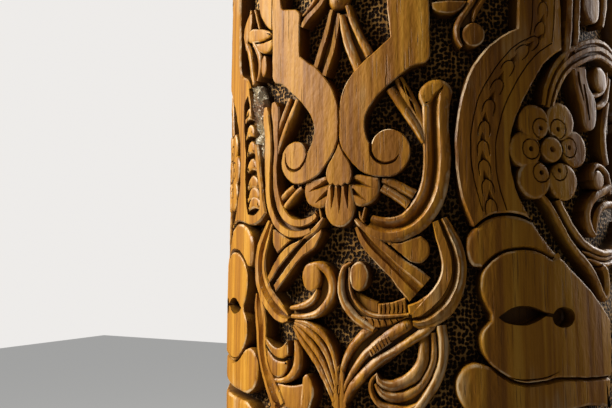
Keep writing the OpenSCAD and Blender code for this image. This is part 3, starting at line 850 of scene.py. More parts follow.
a_stem = bmesh.new()
strap(a_stem, [(0.9, 126.4, 3), (2.4, 119.4, 4.6), (4.9, 110.4, 5), (9.3, 99.8, 5.4),
               (11.2, 95.6, 5.4)], RIDGE, 8.3)
strap(a_stem, [(4.4, 131, 3), (7.4, 122, 3.6), (11.2, 113.2, 4), (16.4, 103.4, 4.8)], RIDGE, 8.3)
strap(a_stem, [(2.6, 128, 4), (7.4, 114, 7), (13, 101, 8)], BED, 4.8)

others = bmesh.new()
strap(others, [(51.6, 85.4, 2.4), (51.3, 82, 5.6), (51, 77, 5.8), (49.8, 70, 6), (49.5, 61, 6.4),
               (49.5, 50, 5.6), (49.1, 40, 4.6), (47.6, 31, 4.2), (43.6, 23.4, 4.4), (38, 17.8, 4.4),
               (31, 14.8, 4), (23, 14.4, 3.6), (17, 16.2, 3)], FLAT)
strap(others, [(44.4, 86.8, 3), (43.8, 83, 6.6), (42.8, 77, 6), (42.4, 69, 4), (42.1, 60, 3.2),
               (42.6, 50, 3.2), (42, 40, 3.8), (39.6, 31, 4.8), (35.6, 25, 4.8), (29.6, 21, 4.4),
               (23, 20, 4.2), (17, 21.6, 3.8), (13.6, 24, 2.4)], FLAT)
strap(others, [(47.6, 83, 6), (46.4, 70, 7), (45.8, 50, 7), (44.6, 37, 7), (41, 26, 7),
               (35, 19.8, 6), (27, 17.2, 5.4), (18, 18.6, 5)], BED, 5.4)
strap(others, [(21, 13, 4), (15.6, 15.6, 4), (11.6, 19.4, 3.4), (9.4, 22.4, 2)], RIDGE, 8.4)
for chip in ([(12.6, 27.4, 1.2), (11.8, 24.6, 2), (11.4, 21, 2)],
             [(15, 26, 1), (13.8, 23.6, 1.8), (14.4, 20.6, 2)]):
    strap(others, chip, RIDGE, 7)
strap(others, [(26.4, 85.8, 3.6), (31, 78, 4.2), (36, 70, 4.2), (39.4, 63.4, 3.6), (41, 58, 2)],
      RIDGE, 8.4)
strap(others, [(32.2, 87.4, 3), (36.4, 79.8, 3.8), (40, 73, 3.8), (43, 66, 3)], RIDGE, 8.2)
strap(others, [(29, 87, 7), (34, 78.4, 8), (40, 68, 6)], BED, 4.8)
slab(others, [(48.7, -8), (44.6, -2.6), (40.3, 2.1), (34.9, 6.8), (29, 9.6), (23, 11.6),
              (15.3, 15.4), (11, 19.4)],
     [(11, 19.4), (14.1, 17.3), (20.3, 12.5), (28.4, 6.2), (37.1, -1), (42.6, -6.6), (46.9, -11.2)],
     [(46.9, -11.2), (48.7, -8)], top=8.6)
slab(others, [(43.4, -12.2), (34, -3.1), (24.3, 6.2), (16.5, 12.2), (10.4, 16.7)],
     [(10.4, 16.7), (9.8, 15.1), (11.6, 11.1), (15.2, 6.6), (22.9, 2.1), (29.7, -4.1), (36.2, -11),
      (41.7, -15.8)], [(41.7, -15.8), (43.4, -12.2)], top=8.4, edge=0.6)
strap(others, [(45.6, -11, 6), (38, -3.6, 8), (30, 3.4, 8), (22, 9, 6), (14, 15, 4)], BED, 5.2)
slab(others, [(31, 11.4), (36, 13.6), (44.6, 18)], [(44.6, 18), (45.2, 12), (44, 8), (40.8, 4.6)],
     [(40.8, 4.6), (36, 8), (31, 11.4)], top=8.0, edge=0.6)
strap(others, [(29, 39.4, 3), (33.8, 37, 3.8), (40, 32.4, 4)], RIDGE, 7.8)
strap(others, [(23.4, 38.6, 2.6), (29, 35, 3.8), (36, 28.8, 4)], RIDGE, 7.8)
strap(others, [(27, 38.4, 5), (32, 35.6, 6), (38, 30.6, 6)], BED, 4.8)
strap(others, [(45.8, 21.4, 5), (50, 15, 7.4), (54.2, 7, 9.4), (55.8, -1, 10.4), (54.8, -9, 10.8),
               (50.6, -16.4, 11), (44.6, -22, 11), (39, -26.2, 10.4), (34.6, -28.2, 8),
               (31.6, -28.8, 4)], OTHER_RING, 8.9)
for points in ([(27, -30.2, 2), (19, -31.6, 3.2), (11, -35.4, 3.8), (5.4, -42, 3.4), (2.4, -50, 3),
                (0.6, -60, 2)],
               [(27.4, -31.2, 2), (20.4, -34, 3.6), (13.6, -38.6, 3.8), (8.4, -44.6, 3.6),
                (4.6, -52.4, 3), (1.6, -62, 2)],
               [(27.8, -32.2, 2), (22, -36.8, 3.6), (16.4, -42, 3.8), (11.2, -47.8, 3.6),
                (6.6, -55.4, 3.2), (2.6, -64, 2.4)],
               [(28.4, -33.2, 2), (23.6, -39.4, 3.4), (18.4, -45, 3.6), (13.2, -50.8, 3.6),
                (8.4, -58, 3.6), (3, -68, 3)]):
    strap(others, points, RIDGE, 8.4)
strap(others, [(27, -31.6, 4), (17, -38, 12), (7.6, -49, 11), (2, -63, 6)], BED, 5.4)
slab(others, *TAIL, top=8.3, edge=0.4)
other_stem = bmesh.new()
strap(other_stem, [(0.2, 127.4, 2), (3.2, 112.5, 2.9), (6, 104, 3), (9.2, 96, 3)], FLAT, 8.3)
strap(other_stem, [(4.4, 130, 2), (7.4, 120, 2.8), (10.4, 112, 3), (14.8, 100.6, 3)], FLAT, 8.3)
strap(other_stem, [(2.6, 128, 4), (7, 112, 6), (12, 99, 7)], BED, 4.8)
strap(other_stem, [(8.4, 139.4, 3), (11.6, 134.8, 2.8), (16, 131.4, 3), (20.6, 128.4, 3.4),
                   (23.6, 124.6, 2)], FLAT, 8.3)
strap(other_stem, [(12.4, 141.4, 3), (16.6, 137, 3), (20.4, 133.4, 2.6), (24, 131, 1.4)],
      RIDGE, 7.6)
for stem, outer_v, inner_v in ((a_stem, 137, 141), (other_stem, 139, 142)):
    strap(stem, [(2.4, outer_v, 3), (8, 147, 4), (12, 157, 4), (13.4, 165, 4)], RIDGE, 8.2)
    strap(stem, [(0.6, inner_v, 2.4), (3.4, 150, 3.4), (6.2, 158, 3.4), (7, 165, 3.4)],
          RIDGE, 8.2)
wrap("front_ribbons_carved", "front_ribbons", relief_wood,
     (FRONT_RIGHT, [ribbons, knob, fork, a_stem]), (FRONT_LEFT, [others, other_stem]))
wrap("back_ribbons_carved", "back_ribbons", relief_wood,
     (BACK_LEFT, [ribbons, knob, fork, a_stem]), (BACK_RIGHT, [others, other_stem]))


# Scrolls fill what the straps leave: a curled stem with its disc over the mirror line, a
# crescent under the lower ring, and a disc on a hooked stem in the gap beside the border. The
# left halves have a snail scroll, a bud on its hook and a lobed leaf in those places.
scrolls = bmesh.new()
strap(scrolls, [(6.4, -0.4, 1.4), (2.8, -2.6, 2.8), (0.9, -8, 3.8), (0.9, -15, 4.2),
                (3.2, -21.4, 4.6), (7.8, -26.6, 4.6), (13, -30.2, 4.4), (18, -32.6, 3.4)],
      RIDGE, 8.6)
strap(scrolls, [(5.6, -2.6, 1.4), (5.6, -11, 1.8), (7.2, -17, 2), (10.6, -21.8, 2.4),
                (15, -25, 2.6), (20, -26, 2.6), (28, -25.8, 2), (35, -24.8, 1.6)], RIDGE, 8.2)
strap(scrolls, [(3.6, -6, 4), (4, -14, 5), (7.6, -22, 5.6), (15, -27.6, 6), (26, -28, 6),
                (36, -27, 4)], BED, 5.6)
slab(scrolls, disc(10.6, -7, 5.1, 7.4), top=8.6, edge=1.1, round_over=True)
slab(scrolls, [(6, -12), (9.6, -14.6), (14, -17.2), (20, -19.4)], [(20, -19.4), (20.6, -25.4)],
     [(20.6, -25.4), (15, -24.6), (9.4, -20.6), (6.6, -15), (6, -12)], top=5.4, edge=1)
chips = []
for top, shape, marks in (
        (7.4, ([(20, -20.2), (27, -19.4), (33.6, -17)], [(33.6, -17), (34, -24.4)],
               [(34, -24.4), (28, -25.4), (20, -25.6)], [(20, -25.6), (20, -20.2)]),
         [((21.4 + 2.1 * n, -19), (21.8 + 2.1 * n, -22.4), (21.2 + 2.1 * n, -26.4))
          for n in range(6)]),
        (7.4, ([(10, -26.4), (14, -26.8), (20, -27.2), (29, -26.8), (35.6, -25.4)],
               [(35.6, -25.4), (30, -28.4), (24, -30.8), (17, -31.4), (10, -26.4)]),
         [((13 + 3.1 * n, -26), (14.6 + 3.1 * n, -28.8), (15 + 3.1 * n, -32))
          for n in range(6)]),
        (8.5, ([(15.2, -42.6), (19.6, -38), (25, -35)], [(25, -35), (26.8, -38.2)],
               [(26.8, -38.2), (21.4, -42.4), (16.8, -45.6)], [(16.8, -45.6), (15.2, -42.6)]),
         [((15.4 + 1.5 * n, -40.4 + 1.1 * n), (16.6 + 1.5 * n, -42.4 + 1.1 * n),
           (18 + 1.5 * n, -45.6 + 1.1 * n)) for n in range(7)])):
    chip = bmesh.new()
    slab(chip, *shape, top=top, edge=0.6)
    chips.append(gouged(chip, *[
        [(*p, width, depth) for p, width, depth in zip(mark, (0.4, 1.1, 0.4), (0.3, 1.4, 0.3))]
        for mark in marks], top=top))
strap(scrolls, [(42.6, -34.4, 4.4, 0.8), (42, -41, 5), (41.2, -47.4, 5.4), (37.6, -53.4, 6),
                (31.6, -57.4, 5.6), (25.4, -59, 5), (20.4, -57, 3.6), (19.6, -53.6, 1)],
      RIDGE, 8.4)
strap(scrolls, [(46.6, -33.4, 3), (47, -41, 3), (45.8, -49, 3.4), (41.4, -57.4, 4),
                (35.4, -62.4, 4.6), (28.6, -64.4, 5), (22, -63, 4), (18.4, -58.4, 2)], RIDGE, 8.0)
strap(scrolls, [(50.4, -30, 5), (51.4, -38, 5), (50.8, -47, 5), (47.8, -55.6, 5), (43.4, -63, 4.6),
                (38.6, -69.4, 4.4), (34.6, -75, 4.4)], RIDGE, 8.6)
strap(scrolls, [(19.6, -53.6, 1.4), (17, -56.6, 2.4), (16, -60.4, 2.6), (17.4, -64.6, 2.8),
                (21, -68.4, 3.4), (28, -70, 4), (34, -69.4, 3), (39, -67, 2)], RIDGE, 8.2)
strap(scrolls, [(47.4, -33, 9), (46.4, -45, 10), (40, -58, 11), (30, -64, 11), (22, -62, 6)],
      BED, 5.0)
gap_scroll = bmesh.new()
slab(gap_scroll, disc(69, 111.4, 5.8, 6.2), top=8.6, edge=1.0, round_over=True)
strap(gap_scroll, [(63, 105.4, 2), (61, 109.6, 3), (60.8, 114.6, 3.4), (62.8, 119.8, 3.4),
                   (66.4, 125, 3.4), (70, 132, 3.4), (72, 142, 3.4), (70.6, 153, 3.4),
                   (66, 165, 3.4)], RIDGE, 8.4)
strap(gap_scroll, [(69, 118, 1.4), (70, 123, 3), (73.6, 129, 3.4), (77.6, 137, 3.6),
                   (78.4, 148, 3.6), (75, 158, 3.6), (70, 165, 3.6)], RIDGE, 8.2)
strap(gap_scroll, [(65, 116, 3), (67, 122, 5), (73, 134, 6), (74, 150, 6), (68, 165, 5)], BED, 5.0)
slab(gap_scroll, [(48.2, 128), (56, 128.6), (66, 128.4)],
     [(66, 128.4), (62.6, 124), (58, 122.2), (52, 122.6), (48.6, 124.6), (48.2, 128)],
     top=8.4, edge=0.9, round_over=True)

loops = bmesh.new()
slab(loops, disc(16.2, -7.6, 5.9, 7.4), top=8.7, edge=1.1, round_over=True)
strap(loops, [(17.4, -1.2, 2), (12.4, -1.6, 4.2), (7.4, -4.2, 4.8), (4.6, -9, 4.6), (4.4, -15, 4.6),
              (7.2, -20.8, 4.6), (12.6, -25.6, 4.2), (19.4, -27.8, 3.2), (29.4, -27.9, 2.4)],
      RIDGE, 8.6)
strap(loops, [(13, -13.6, 1.8), (13.6, -15.6, 3.2), (15.8, -18.8, 4), (19.8, -21.5, 4),
              (25, -23, 3.4), (30.4, -23.8, 2.2)], RIDGE, 8.4)
strap(loops, [(9, -4, 4), (8.6, -11, 5), (10, -17, 6), (15, -23, 6), (22, -25.4, 5),
              (30, -26, 4)], BED, 5.2)
slab(loops, [(49.6, -39.6), (45.4, -43), (40, -45.2), (35.4, -43.6), (31.6, -40.6)],
     [(31.6, -40.6), (31.2, -44), (31.4, -48)],
     [(31.4, -48), (35.4, -50.2), (40.4, -49.8), (45, -47.4), (49.4, -43.4)],
     [(49.4, -43.4), (49.6, -39.6)], top=8.7, edge=0.8, round_over=True)
slab(loops, [(32, -50.6), (36, -51.8), (41, -51.2), (45.4, -48.8), (49.2, -45.6)],
     [(49.2, -45.6), (49.8, -50), (49, -55), (46, -59), (41, -60.4), (36, -59.4), (32.8, -55.6),
      (32, -50.6)], top=8.2, edge=1.0, round_over=True)
strap(loops, [(27, -40, 1.6), (25.6, -44, 5), (25.3, -50, 6), (27.2, -55.6, 5.4),
              (31.2, -59.4, 4.2), (36.2, -61.5, 3.2), (43.6, -61.9, 2.6)], RIDGE, 8.5)
strap(loops, [(29, -42, 3), (29.4, -50, 5), (33, -57.4, 5), (44, -61, 4)], BED, 4.8)
slab(loops, [(45, -62.8), (38, -63.4), (30, -63.4), (20, -61)],
     [(20, -61), (19.4, -68), (20, -75)], [(20, -75), (36, -75)],
     [(36, -75), (40, -69), (45, -62.8)], top=7.8, edge=0.8, round_over=True)
slab(loops, [(22, -62), (21.4, -57.8), (18.8, -56.2), (16, -59.4), (14.4, -64), (15, -69),
             (18, -75)], [(18, -75), (23, -75)], [(23, -75), (22.8, -68), (22, -62)],
     top=8.6, edge=1.3, round_over=True)
strap(loops, [(57.6, -17, 4), (56.4, -24, 9), (54.8, -31, 10.6), (54, -38, 9.8), (53.6, -45, 8.8),
              (51.8, -52, 8.4), (48.6, -59, 8.8), (44.2, -65.6, 9.6), (39.6, -73, 10.4),
              (38.4, -75, 10.4)], TROUGH, 8.7)
gap_leaf = bmesh.new()
slab(gap_leaf, [(46.6, 125.4), (50, 128.4), (56, 131), (62, 132.8), (68, 134.6), (73, 134.4)],
     [(73, 134.4), (74.6, 130.6), (72.4, 127.4)],
     [(72.4, 127.4), (66, 125.8), (58, 124.4), (52, 124.2), (46.6, 125.4)],
     top=8.6, edge=1.0, round_over=True)
slab(gap_leaf, [(46.6, 123.4), (53, 123.2), (60, 124), (67.4, 125.4)],
     [(67.4, 125.4), (64, 121.6), (58.6, 118), (53.6, 116.4), (49.4, 116.8), (46.8, 119.6),
      (46.6, 123.4)], top=8.2, edge=1.2, round_over=True)
slab(gap_leaf, [(70.2, 146.6), (75, 143.6), (79.4, 139.4), (82, 134)],
     [(82, 134), (80, 129), (77.6, 127.2)],
     [(77.6, 127.2), (72.8, 132), (70.2, 138), (70.2, 146.6)],
     top=8.4, edge=1.2, round_over=True)
strap(gap_leaf, [(81, 134, 2), (78.4, 128, 4), (73.6, 121.6, 5), (71, 114, 4.4),
                 (69.4, 107.6, 4.4), (66.4, 101, 3.4)], RIDGE, 8.4)
strap(gap_leaf, [(68.6, 127, 2.4), (63.4, 121, 4), (60.2, 115, 4.4), (59.4, 108, 4.4),
                 (61.6, 102.6, 3)], RIDGE, 8.5)
slab(gap_leaf, disc(55.6, 109.6, 2.6, 6.4), top=8, edge=1, round_over=True)
slab(gap_leaf, [(62.6, 165), (62, 156), (60.6, 146), (57.8, 138.8), (54, 133.4),
                (49.6, 129.4), (46.2, 128)], [(46.2, 128), (46.2, 165)],
     [(46.2, 165), (62.6, 165)], top=8.6, edge=0.8, round_over=True)
strap(gap_leaf, [(68, 146, 1.6), (65, 139, 2.2), (62, 133, 1.8)], RIDGE, 7.4)
wrap("front_scrolls_carved", "front_scrolls", relief_wood,
     (FRONT_RIGHT, [scrolls, gap_scroll, *chips]), (FRONT_LEFT, [loops, gap_leaf]))
wrap("back_scrolls_carved", "back_scrolls", relief_wood,
     (BACK_LEFT, [scrolls, gap_scroll, *chips]), (BACK_RIGHT, [loops, gap_leaf]))


# A broad band frames the cartouche of each side panel. Between its two incised lines runs a
# chain of overlapping scales, each an arch with a three-cornered notch cut under it. On the
# other halves it is hollow and holds plain round scales.
LINE_CUT = (0.8, 1.1)
band = bmesh.new()
slab(band, [(92.6, 165), (92.8, 140), (92.6, 126), (91.8, 115.8)],
     [(91.8, 115.8), (85, 112.4), (78, 107.4), (70.6, 99.4), (65.4, 90.4), (61.6, 79), (59.2, 66),
      (58.4, 53), (59.4, 40), (62, 28), (66, 17.6)], [(66, 17.6), (67, 17)],
     [(67, 17), (70.4, 20), (76, 22.8), (84, 23.8), (91.4, 23), (97.6, 20.4)],
     [(97.6, 20.4), (93, 26.4), (88.6, 36), (86.2, 47), (86.2, 57), (89, 68.4), (95, 80.6),
      (104, 95), (111, 102.4), (119.4, 107.8)],
     [(119.4, 107.8), (119.8, 130), (120, 165)], [(120, 165), (92.6, 165)], edge=0.9)
band = gouged(band, *[[(*p, *LINE_CUT) for p in path] for path in (
    [(102.6, 166), (102, 140), (100.4, 120), (99, 112.4)],
    [(99, 111.4), (92, 107.6), (84.6, 101), (77, 91.4), (71, 80.6), (67.4, 68), (66, 55),
     (67, 42), (70, 29), (71.6, 24)],
    [(116.4, 166), (115.6, 140), (114, 120), (112.4, 110.6)],
    [(112.4, 110), (104, 104.4), (96.6, 97), (89, 86), (83, 74), (79.4, 61), (78.4, 48),
     (80, 36), (83.4, 25)])])
chain = smooth([(76, 20.6), (75.2, 30), (73.2, 39.6), (72.3, 49), (72.4, 58.6), (73.4, 68),
                (77, 78.6), (81.8, 89), (88.6, 98.6), (97.4, 106.6), (103.6, 111.4),
                (106.6, 120), (108, 130.6), (108.6, 141), (109, 152), (109.2, 162)], 9.4)
arches, notches = [], []
for k in range(1, len(chain)):
    head = Vector(chain[k])
    way = (head - Vector(chain[k - 1])).normalized()
    side = Vector((way.y, -way.x))
    arches.append([(*(head + side * x + way * y), 0.9, depth) for x, y, depth in (
        (-2.8, -7.4, 0.3), (-3, -4, 1.1), (-2, -0.8, 1.3), (0, 0.5, 1.3), (2, -0.8, 1.3),
        (3, -4, 1.1), (2.8, -7.4, 0.3))])
    notches.append([(*(head + way * y), width, depth) for y, width, depth in (
        (0.2, 3.6, 2.6), (1.8, 2.8, 2.2), (4.8, 0.5, 0.2))])
band = gouged(gouged(band, *arches), *notches)


def hollow_band(*breaks):
    """The band of the other halves: a hollow between two strips, full of plain scales. Each
    break is a cutter that takes a stretch of a strip away before the scales are set in."""
    solid, channel = bmesh.new(), bmesh.new()
    slab(solid, [(88, 165), (88, 150), (87.2, 134), (86.4, 117)],
         [(86.4, 117), (84.6, 112), (79.6, 108.6), (73.5, 105.6), (69.4, 99.4), (66, 90),
          (63.4, 80), (61, 70), (58.8, 62), (57, 55), (55.2, 46), (53.4, 38), (51.6, 31),
          (50.6, 26.6)],
         [(50.6, 26.6), (56, 22.4), (62, 20.6), (69, 21), (76, 22.8), (84, 23.8), (91.4, 23),
          (97, 20.4)],
         [(97, 20.4), (91.6, 26), (87.4, 33), (84, 42), (82.4, 51), (82.6, 61), (84.6, 71),
          (89.6, 82), (97, 93.4), (106, 101.4), (114, 106.8), (119.4, 109)],
         [(119.4, 109), (119.8, 130), (120, 165)], [(120, 165), (88, 165)], edge=0.9)
    pit(channel, [(72, 96), (68.8, 88), (66.4, 79), (63.4, 67), (61.2, 57), (59, 48), (57, 40),
                  (55.8, 34), (56, 29)], [(56, 29), (62, 26), (70, 27)],
        [(70, 27), (72, 33), (73.4, 40), (74, 48), (74.2, 56), (74.4, 65), (76, 75), (77.4, 86),
         (77, 92), (72.4, 95)], floor=4.4)
    solid = carve(solid, channel)
    for broken in breaks:
        solid = carve(solid, broken)
    for k, (u, v) in enumerate(smooth([(63.4, 28), (65.4, 40), (66.8, 50), (67.8, 60), (69.8, 70),
                                       (71.8, 80), (73.4, 89)], 8.0)[:-1]):
        wide = 6.8 - 0.42 * k
        slab(solid, [(u + x * wide, v + y) for x, y in (
            (-1, 0.6), (-1.02, 4), (-0.62, 7.4), (0.1, 8.9), (0.7, 7.2), (1.02, 4), (1, 0.4))],
             [(u + wide, v + 0.4), (u + 0.1 * wide, v + 1.8), (u - wide, v + 0.6)],
             top=8.4, edge=1.5, round_over=True)
    return solid


PHOTO_UNIT = 3
broken = bmesh.new()
pit(broken, [(71, 99.6), (68.6, 92), (67.4, 84), (66, 76), (63.4, 67), (60, 66)],
    [(60, 66), (56, 70), (56, 86), (60, 101), (71, 99.6)], floor=1.5)
other_band, broken_band = hollow_band(), hollow_band(broken)
whole_units = [unit for unit in range(UNITS) if unit != PHOTO_UNIT]
wrap("right_cartouches_carved", "right_cartouches", relief_wood,
     (FRONT_RIGHT, [band]), (BACK_RIGHT, [other_band]))
wrap("left_cartouches_carved", "left_cartouches", relief_wood,
     (FRONT_LEFT, [other_band], *whole_units), (FRONT_LEFT, [broken_band], PHOTO_UNIT),
     (BACK_LEFT, [band]))


# At eye height on the left the inner strip of one band has split away. It leaves a rough patch
# of grey splinters that run with the grain, with redder wood where the break is fresh.
def split_wood():
    """Broken timber: grey weathered tips, painted shade darkening the gaps between them, and reddish
    fresh faces.
    """
    material, shader, place = new_material("split_wood")
    tips = sunk_depth(place).between(0.15, 0.7)
    fibres = place.stretch(900, 900, 90).noise(4, 0.7)
    fresh = place.stretch(55, 55, 42).noise(2).between(0.46, 0.56)
    # Grey weathering on the splinter tips, and painted shade that darkens the low wood between them.
    colour = (tips * 0.6 + fibres * 0.9).between(0.45, 0.85).mix(
        (0.04, 0.024, 0.014, 1), (0.78, 0.68, 0.52, 1))
    colour = (fresh * fibres.between(0.3, 0.7) * 0.8).mix(colour, (0.36, 0.12, 0.05, 1))
    coat(shader, colour, 0.75 + fibres * 0.2, 0.25, fibres, 0.9, 0.001)
    return material


SPLIT_EDGES = [(57, 52.6, 58), (66, 52.8, 62.6), (76, 53.4, 66), (86, 55, 68.6), (94, 58.4, 70),
               (100, 62, 70.6)]
splinters = bmesh.new()
bmesh.ops.create_grid(splinters, x_segments=24, y_segments=34, size=0.5)
for vert in splinters.verts:
    reach = (vert.co.y + 0.5) * (len(SPLIT_EDGES) - 1)
    k = min(int(reach), len(SPLIT_EDGES) - 2)
    v, left, right = (a + (b - a) * (reach - k)
                      for a, b in zip(SPLIT_EDGES[k], SPLIT_EDGES[k + 1]))
    vert.co = (left + (right - left) * (vert.co.x + 0.5), v, BASE)
for vert in pulled(splinters, splinters.faces[:])[0]:
    u, v = vert.co.xy
    fibre = abs(noise.noise(Vector((u * 0.75, v * 0.09, 3.0))))
    chip = noise.noise(Vector((u * 0.3, v * 0.16, 9.0)))
    vert.co = (u + 0.3 * chip, v, min(8.6, 3.2 + 9 * fibre + 3.4 * chip))
wrap("splintered_edge", None, split_wood(), (FRONT_LEFT, [splinters], PHOTO_UNIT))


# The band ends under a great leaf of rounded lobes, each cut to stand over the last. Between
# two of them a deep slit opens, with a drilled eye at its end.
UNDERCUT = (4.4, 3.4)
BODY_TOP = [(74.4, -24.4), (71.4, -19.6), (69.6, -13.4), (69.8, -7.6), (71.8, -3), (75.4, 0.8),
            (80.4, 3.8), (86.4, 5.4), (92.6, 5.9), (98.4, 5.3), (103.6, 3.4), (108.6, 1)]
BODY_FOOT = [(150, -58), (130, -57), (112, -55.6), (102, -56.4), (93, -57.2), (85, -55.6),
             (78, -51.6), (73, -47.2), (69.8, -42), (69, -36), (70.6, -31.6), (74.4, -28)]
leaf_top = bmesh.new()
slab(leaf_top, [(66, 14.6), (70, 18.2), (76, 21.4), (84, 22.6), (91, 21.8), (97.6, 19.4)],
     [(97.6, 19.4), (103, 12.6), (107.6, 7.4), (113, 2.6)], [(113, 2.6), (100, -4), (72, -6)],
     [(72, -6), (70.4, -2.6), (66.4, -2.2), (64, 1), (63, 6.6), (63.8, 11.6), (66, 14.6)],
     top=8.7, edge=1.8, round_over=True)
leaf_top = gouged(leaf_top, [(*p, *UNDERCUT) for p in BODY_TOP[3:]], top=8.7)
leaf_foot = bmesh.new()
slab(leaf_foot, [(80, -52), (71.4, -48.6), (66, -47.2), (61, -49.2), (57.6, -54), (56.8, -59),
                 (58.4, -65), (62.6, -70), (69, -73)],
     [(69, -73), (100, -72.6), (130, -71), (147, -73.4)], [(147, -73.4), (151, -54)],
     [(151, -54), (110, -50), (80, -52)], top=8.6, edge=1.8, round_over=True)
leaf_foot = gouged(leaf_foot, [(*p, *UNDERCUT) for p in BODY_FOOT[:8]], top=8.6)
leaf = bmesh.new()
slab(leaf, BODY_TOP, [(108.6, 1), (112.6, 2.8)],
     [(112.6, 2.8), (117, -1), (121.4, -4.6), (127, -9), (133.4, -13.6), (140, -19), (145.4, -24),
      (151.4, -30)], [(151.4, -30), (151, -44), (150, -58)], BODY_FOOT,
     [(74.4, -28), (74.4, -24.4)], edge=1.0, round_over=True)
slit, eye = bmesh.new(), bmesh.new()
pit(slit, [(77.6, -26.2), (81, -23.6), (86, -21.2), (92, -20.8), (98, -22), (104.6, -25.2)],
    [(104.6, -25.2), (98, -28.4), (92, -30.2), (86, -29.9), (81, -28.6), (77.6, -26.2)])
pit(eye, disc(114, -27, 7.2, 5), floor=0.8)
leaf = gouged(carve(carve(leaf, slit), eye), [(103, -25.2, 2, 4.6), (108.6, -26, 2, 5)])
leaf = gouged(leaf, [(79, -53, 0.5, 0.3), (86, -55.2, 1.0, 1.2), (96, -55.6, 1.0, 1.2),
                     (104, -54.4, 0.9, 1.0), (110, -52.6, 0.4, 0.2)])
wrap("right_leaves_carved", "right_leaves", relief_wood,
     (FRONT_RIGHT, [leaf_top, leaf_foot, leaf]), (BACK_RIGHT, [leaf_top, leaf_foot, leaf]))
wrap("left_leaves_carved", "left_leaves", relief_wood,
     (FRONT_LEFT, [leaf_top, leaf_foot, leaf]), (BACK_LEFT, [leaf_top, leaf_foot, leaf]))


# Inside the cartouche sits a six-petalled flower. Every petal has an incised ring around a
# drilled point, and fine cuts part the petals from each other and from the round heart.
EYES = ((98, 55.4), (104, 66), (115, 66.4), (122.2, 57.4), (115, 45.6), (103.6, 44))
PETALS = ((95, 55, 9.2), (100.4, 68.8, 9.2), (117, 70.4, 9.6), (126.6, 57, 9.4),
          (118, 40, 9.6), (99.6, 40.4, 9.8))
HEART = (110.6, 55.8)


def bit(u, v, w, r):
    """A cutter for a drilled point, centred at the height w, with the radius r at its top."""
    cutter = bmesh.new()
    cone = bmesh.ops.create_cone(cutter, cap_ends=True, segments=10, radius1=0.4, radius2=r,
                                 depth=4)["verts"]
    bmesh.ops.translate(cutter, verts=cone, vec=(u, v, w))
    return cutter


flowers = []
for (u, v), (petal_u, petal_v, petal_r) in zip(EYES, PETALS):
    petal, heart_cut = bmesh.new(), bmesh.new()
    slab(petal, disc(petal_u, petal_v, petal_r), edge=1.7, top=8.6, round_over=True)
    pit(heart_cut, disc(*HEART, 7.6), floor=6.4, top=8.6)
    petal = gouged(carve(petal, heart_cut),
                   [(*p, 1.0, 1.3) for p in disc(u, v, 5.1, turns=12)], top=8.6)
    flowers.append(carve(petal, bit(u, v, 7.6, 1.7)))
heart = bmesh.new()
slab(heart, disc(*HEART, 6.6), edge=1.2, top=8.8, round_over=True)
flowers.append(carve(heart, bit(*HEART, 7.8, 2.2)))
wrap("right_flowers_carved", "right_flowers", relief_wood,
     (FRONT_RIGHT, flowers), (BACK_RIGHT, flowers))
wrap("left_flowers_carved", "left_flowers", relief_wood,
     (FRONT_LEFT, flowers), (BACK_LEFT, flowers))


# Stems rise from behind the flower and arch over it. Thin double strands, a hanging leaf and
# small volutes fill the rest of the cartouche.
ARCH = ((-0.5, 0.8), (-0.44, 0.2), (-0.3, 0), (-0.24, 1.8), (-0.16, 1.8), (-0.1, 0), (0.1, 0),
        (0.16, 1.8), (0.24, 1.8), (0.3, 0), (0.44, 0.2), (0.5, 0.8))
stems = bmesh.new()
strap(stems, [(109, 77, 8), (113.4, 89, 9.4), (119, 97.6, 10), (126, 103.4, 10.4),
              (134, 107.8, 10.8), (143, 111.6, 11), (152, 113.8, 11), (161, 114.2, 11),
              (172, 113, 10.6), (184, 111.4, 10), (196.4, 111, 10)], ARCH, 8.4)
strap(stems, [(122, 101, 2), (125.4, 110, 4.2), (127.2, 122, 4.2), (128.6, 136, 4),
              (129.6, 165, 4)], RIDGE, 8.2)
strap(stems, [(130, 108, 2), (132.6, 116, 3.4), (133.8, 126, 3.6), (135, 137, 3.6),
              (136, 165, 3.4)], RIDGE, 8.2)
slab(stems, [(147, 126.6), (152.6, 128.8), (155.8, 134), (155.8, 144), (152, 154),
             (147.4, 160), (142.4, 154), (139, 144), (139, 134), (142, 128.6), (147, 126.6)],
     top=8.4, edge=1.5, round_over=True)
strap(stems, [(160, 128, 3), (163, 134, 5), (166, 144, 6), (165, 155, 5), (160, 165, 5)],
      RIDGE, 8.2)
hanging = bmesh.new()
slab(hanging, [(127, 99.6), (129.4, 89.6), (132.6, 79.4), (134.8, 71.4)],
     [(134.8, 71.4), (136.6, 68.8), (140, 67.8), (144.4, 69.6), (146.8, 74), (147.4, 81),
      (146.6, 86.4), (142, 90.4), (139.8, 95), (138.4, 102)], [(138.4, 102), (127, 99.6)],
     top=8.2, edge=1.1, round_over=True)
hanging = gouged(
    hanging,
    [(136.2, 92, 1.4, 3), (137.6, 86, 2.4, 6), (138.8, 80, 2.4, 6), (140, 73.4, 1, 4)],
    [(131.6, 98, 1.6, 3), (132.6, 93, 2.2, 6), (134.4, 87, 1.6, 4), (135.6, 82, 0.4, 1)],
    top=8.2)
slab(stems, disc(154, 97.4, 7.6, 7.2), top=8.6, edge=2.4, round_over=True)
strap(stems, [(140.6, 88.4, 2), (145, 87.4, 3), (151, 88.8, 3), (157, 91.6, 3), (162, 96.6, 3),
              (163.6, 103, 2)], RIDGE, 8.0)
strap(stems, [(148, 82, 2), (153.6, 83.2, 4), (159.4, 86.6, 4.4), (163.6, 92.6, 4), (166, 100, 3)],
      RIDGE, 8.2)
strap(stems, [(163.6, 86, 4), (159.6, 78, 6), (157, 69, 6.4), (156.6, 60, 6), (159, 52, 5)],
      RIDGE, 8.0)
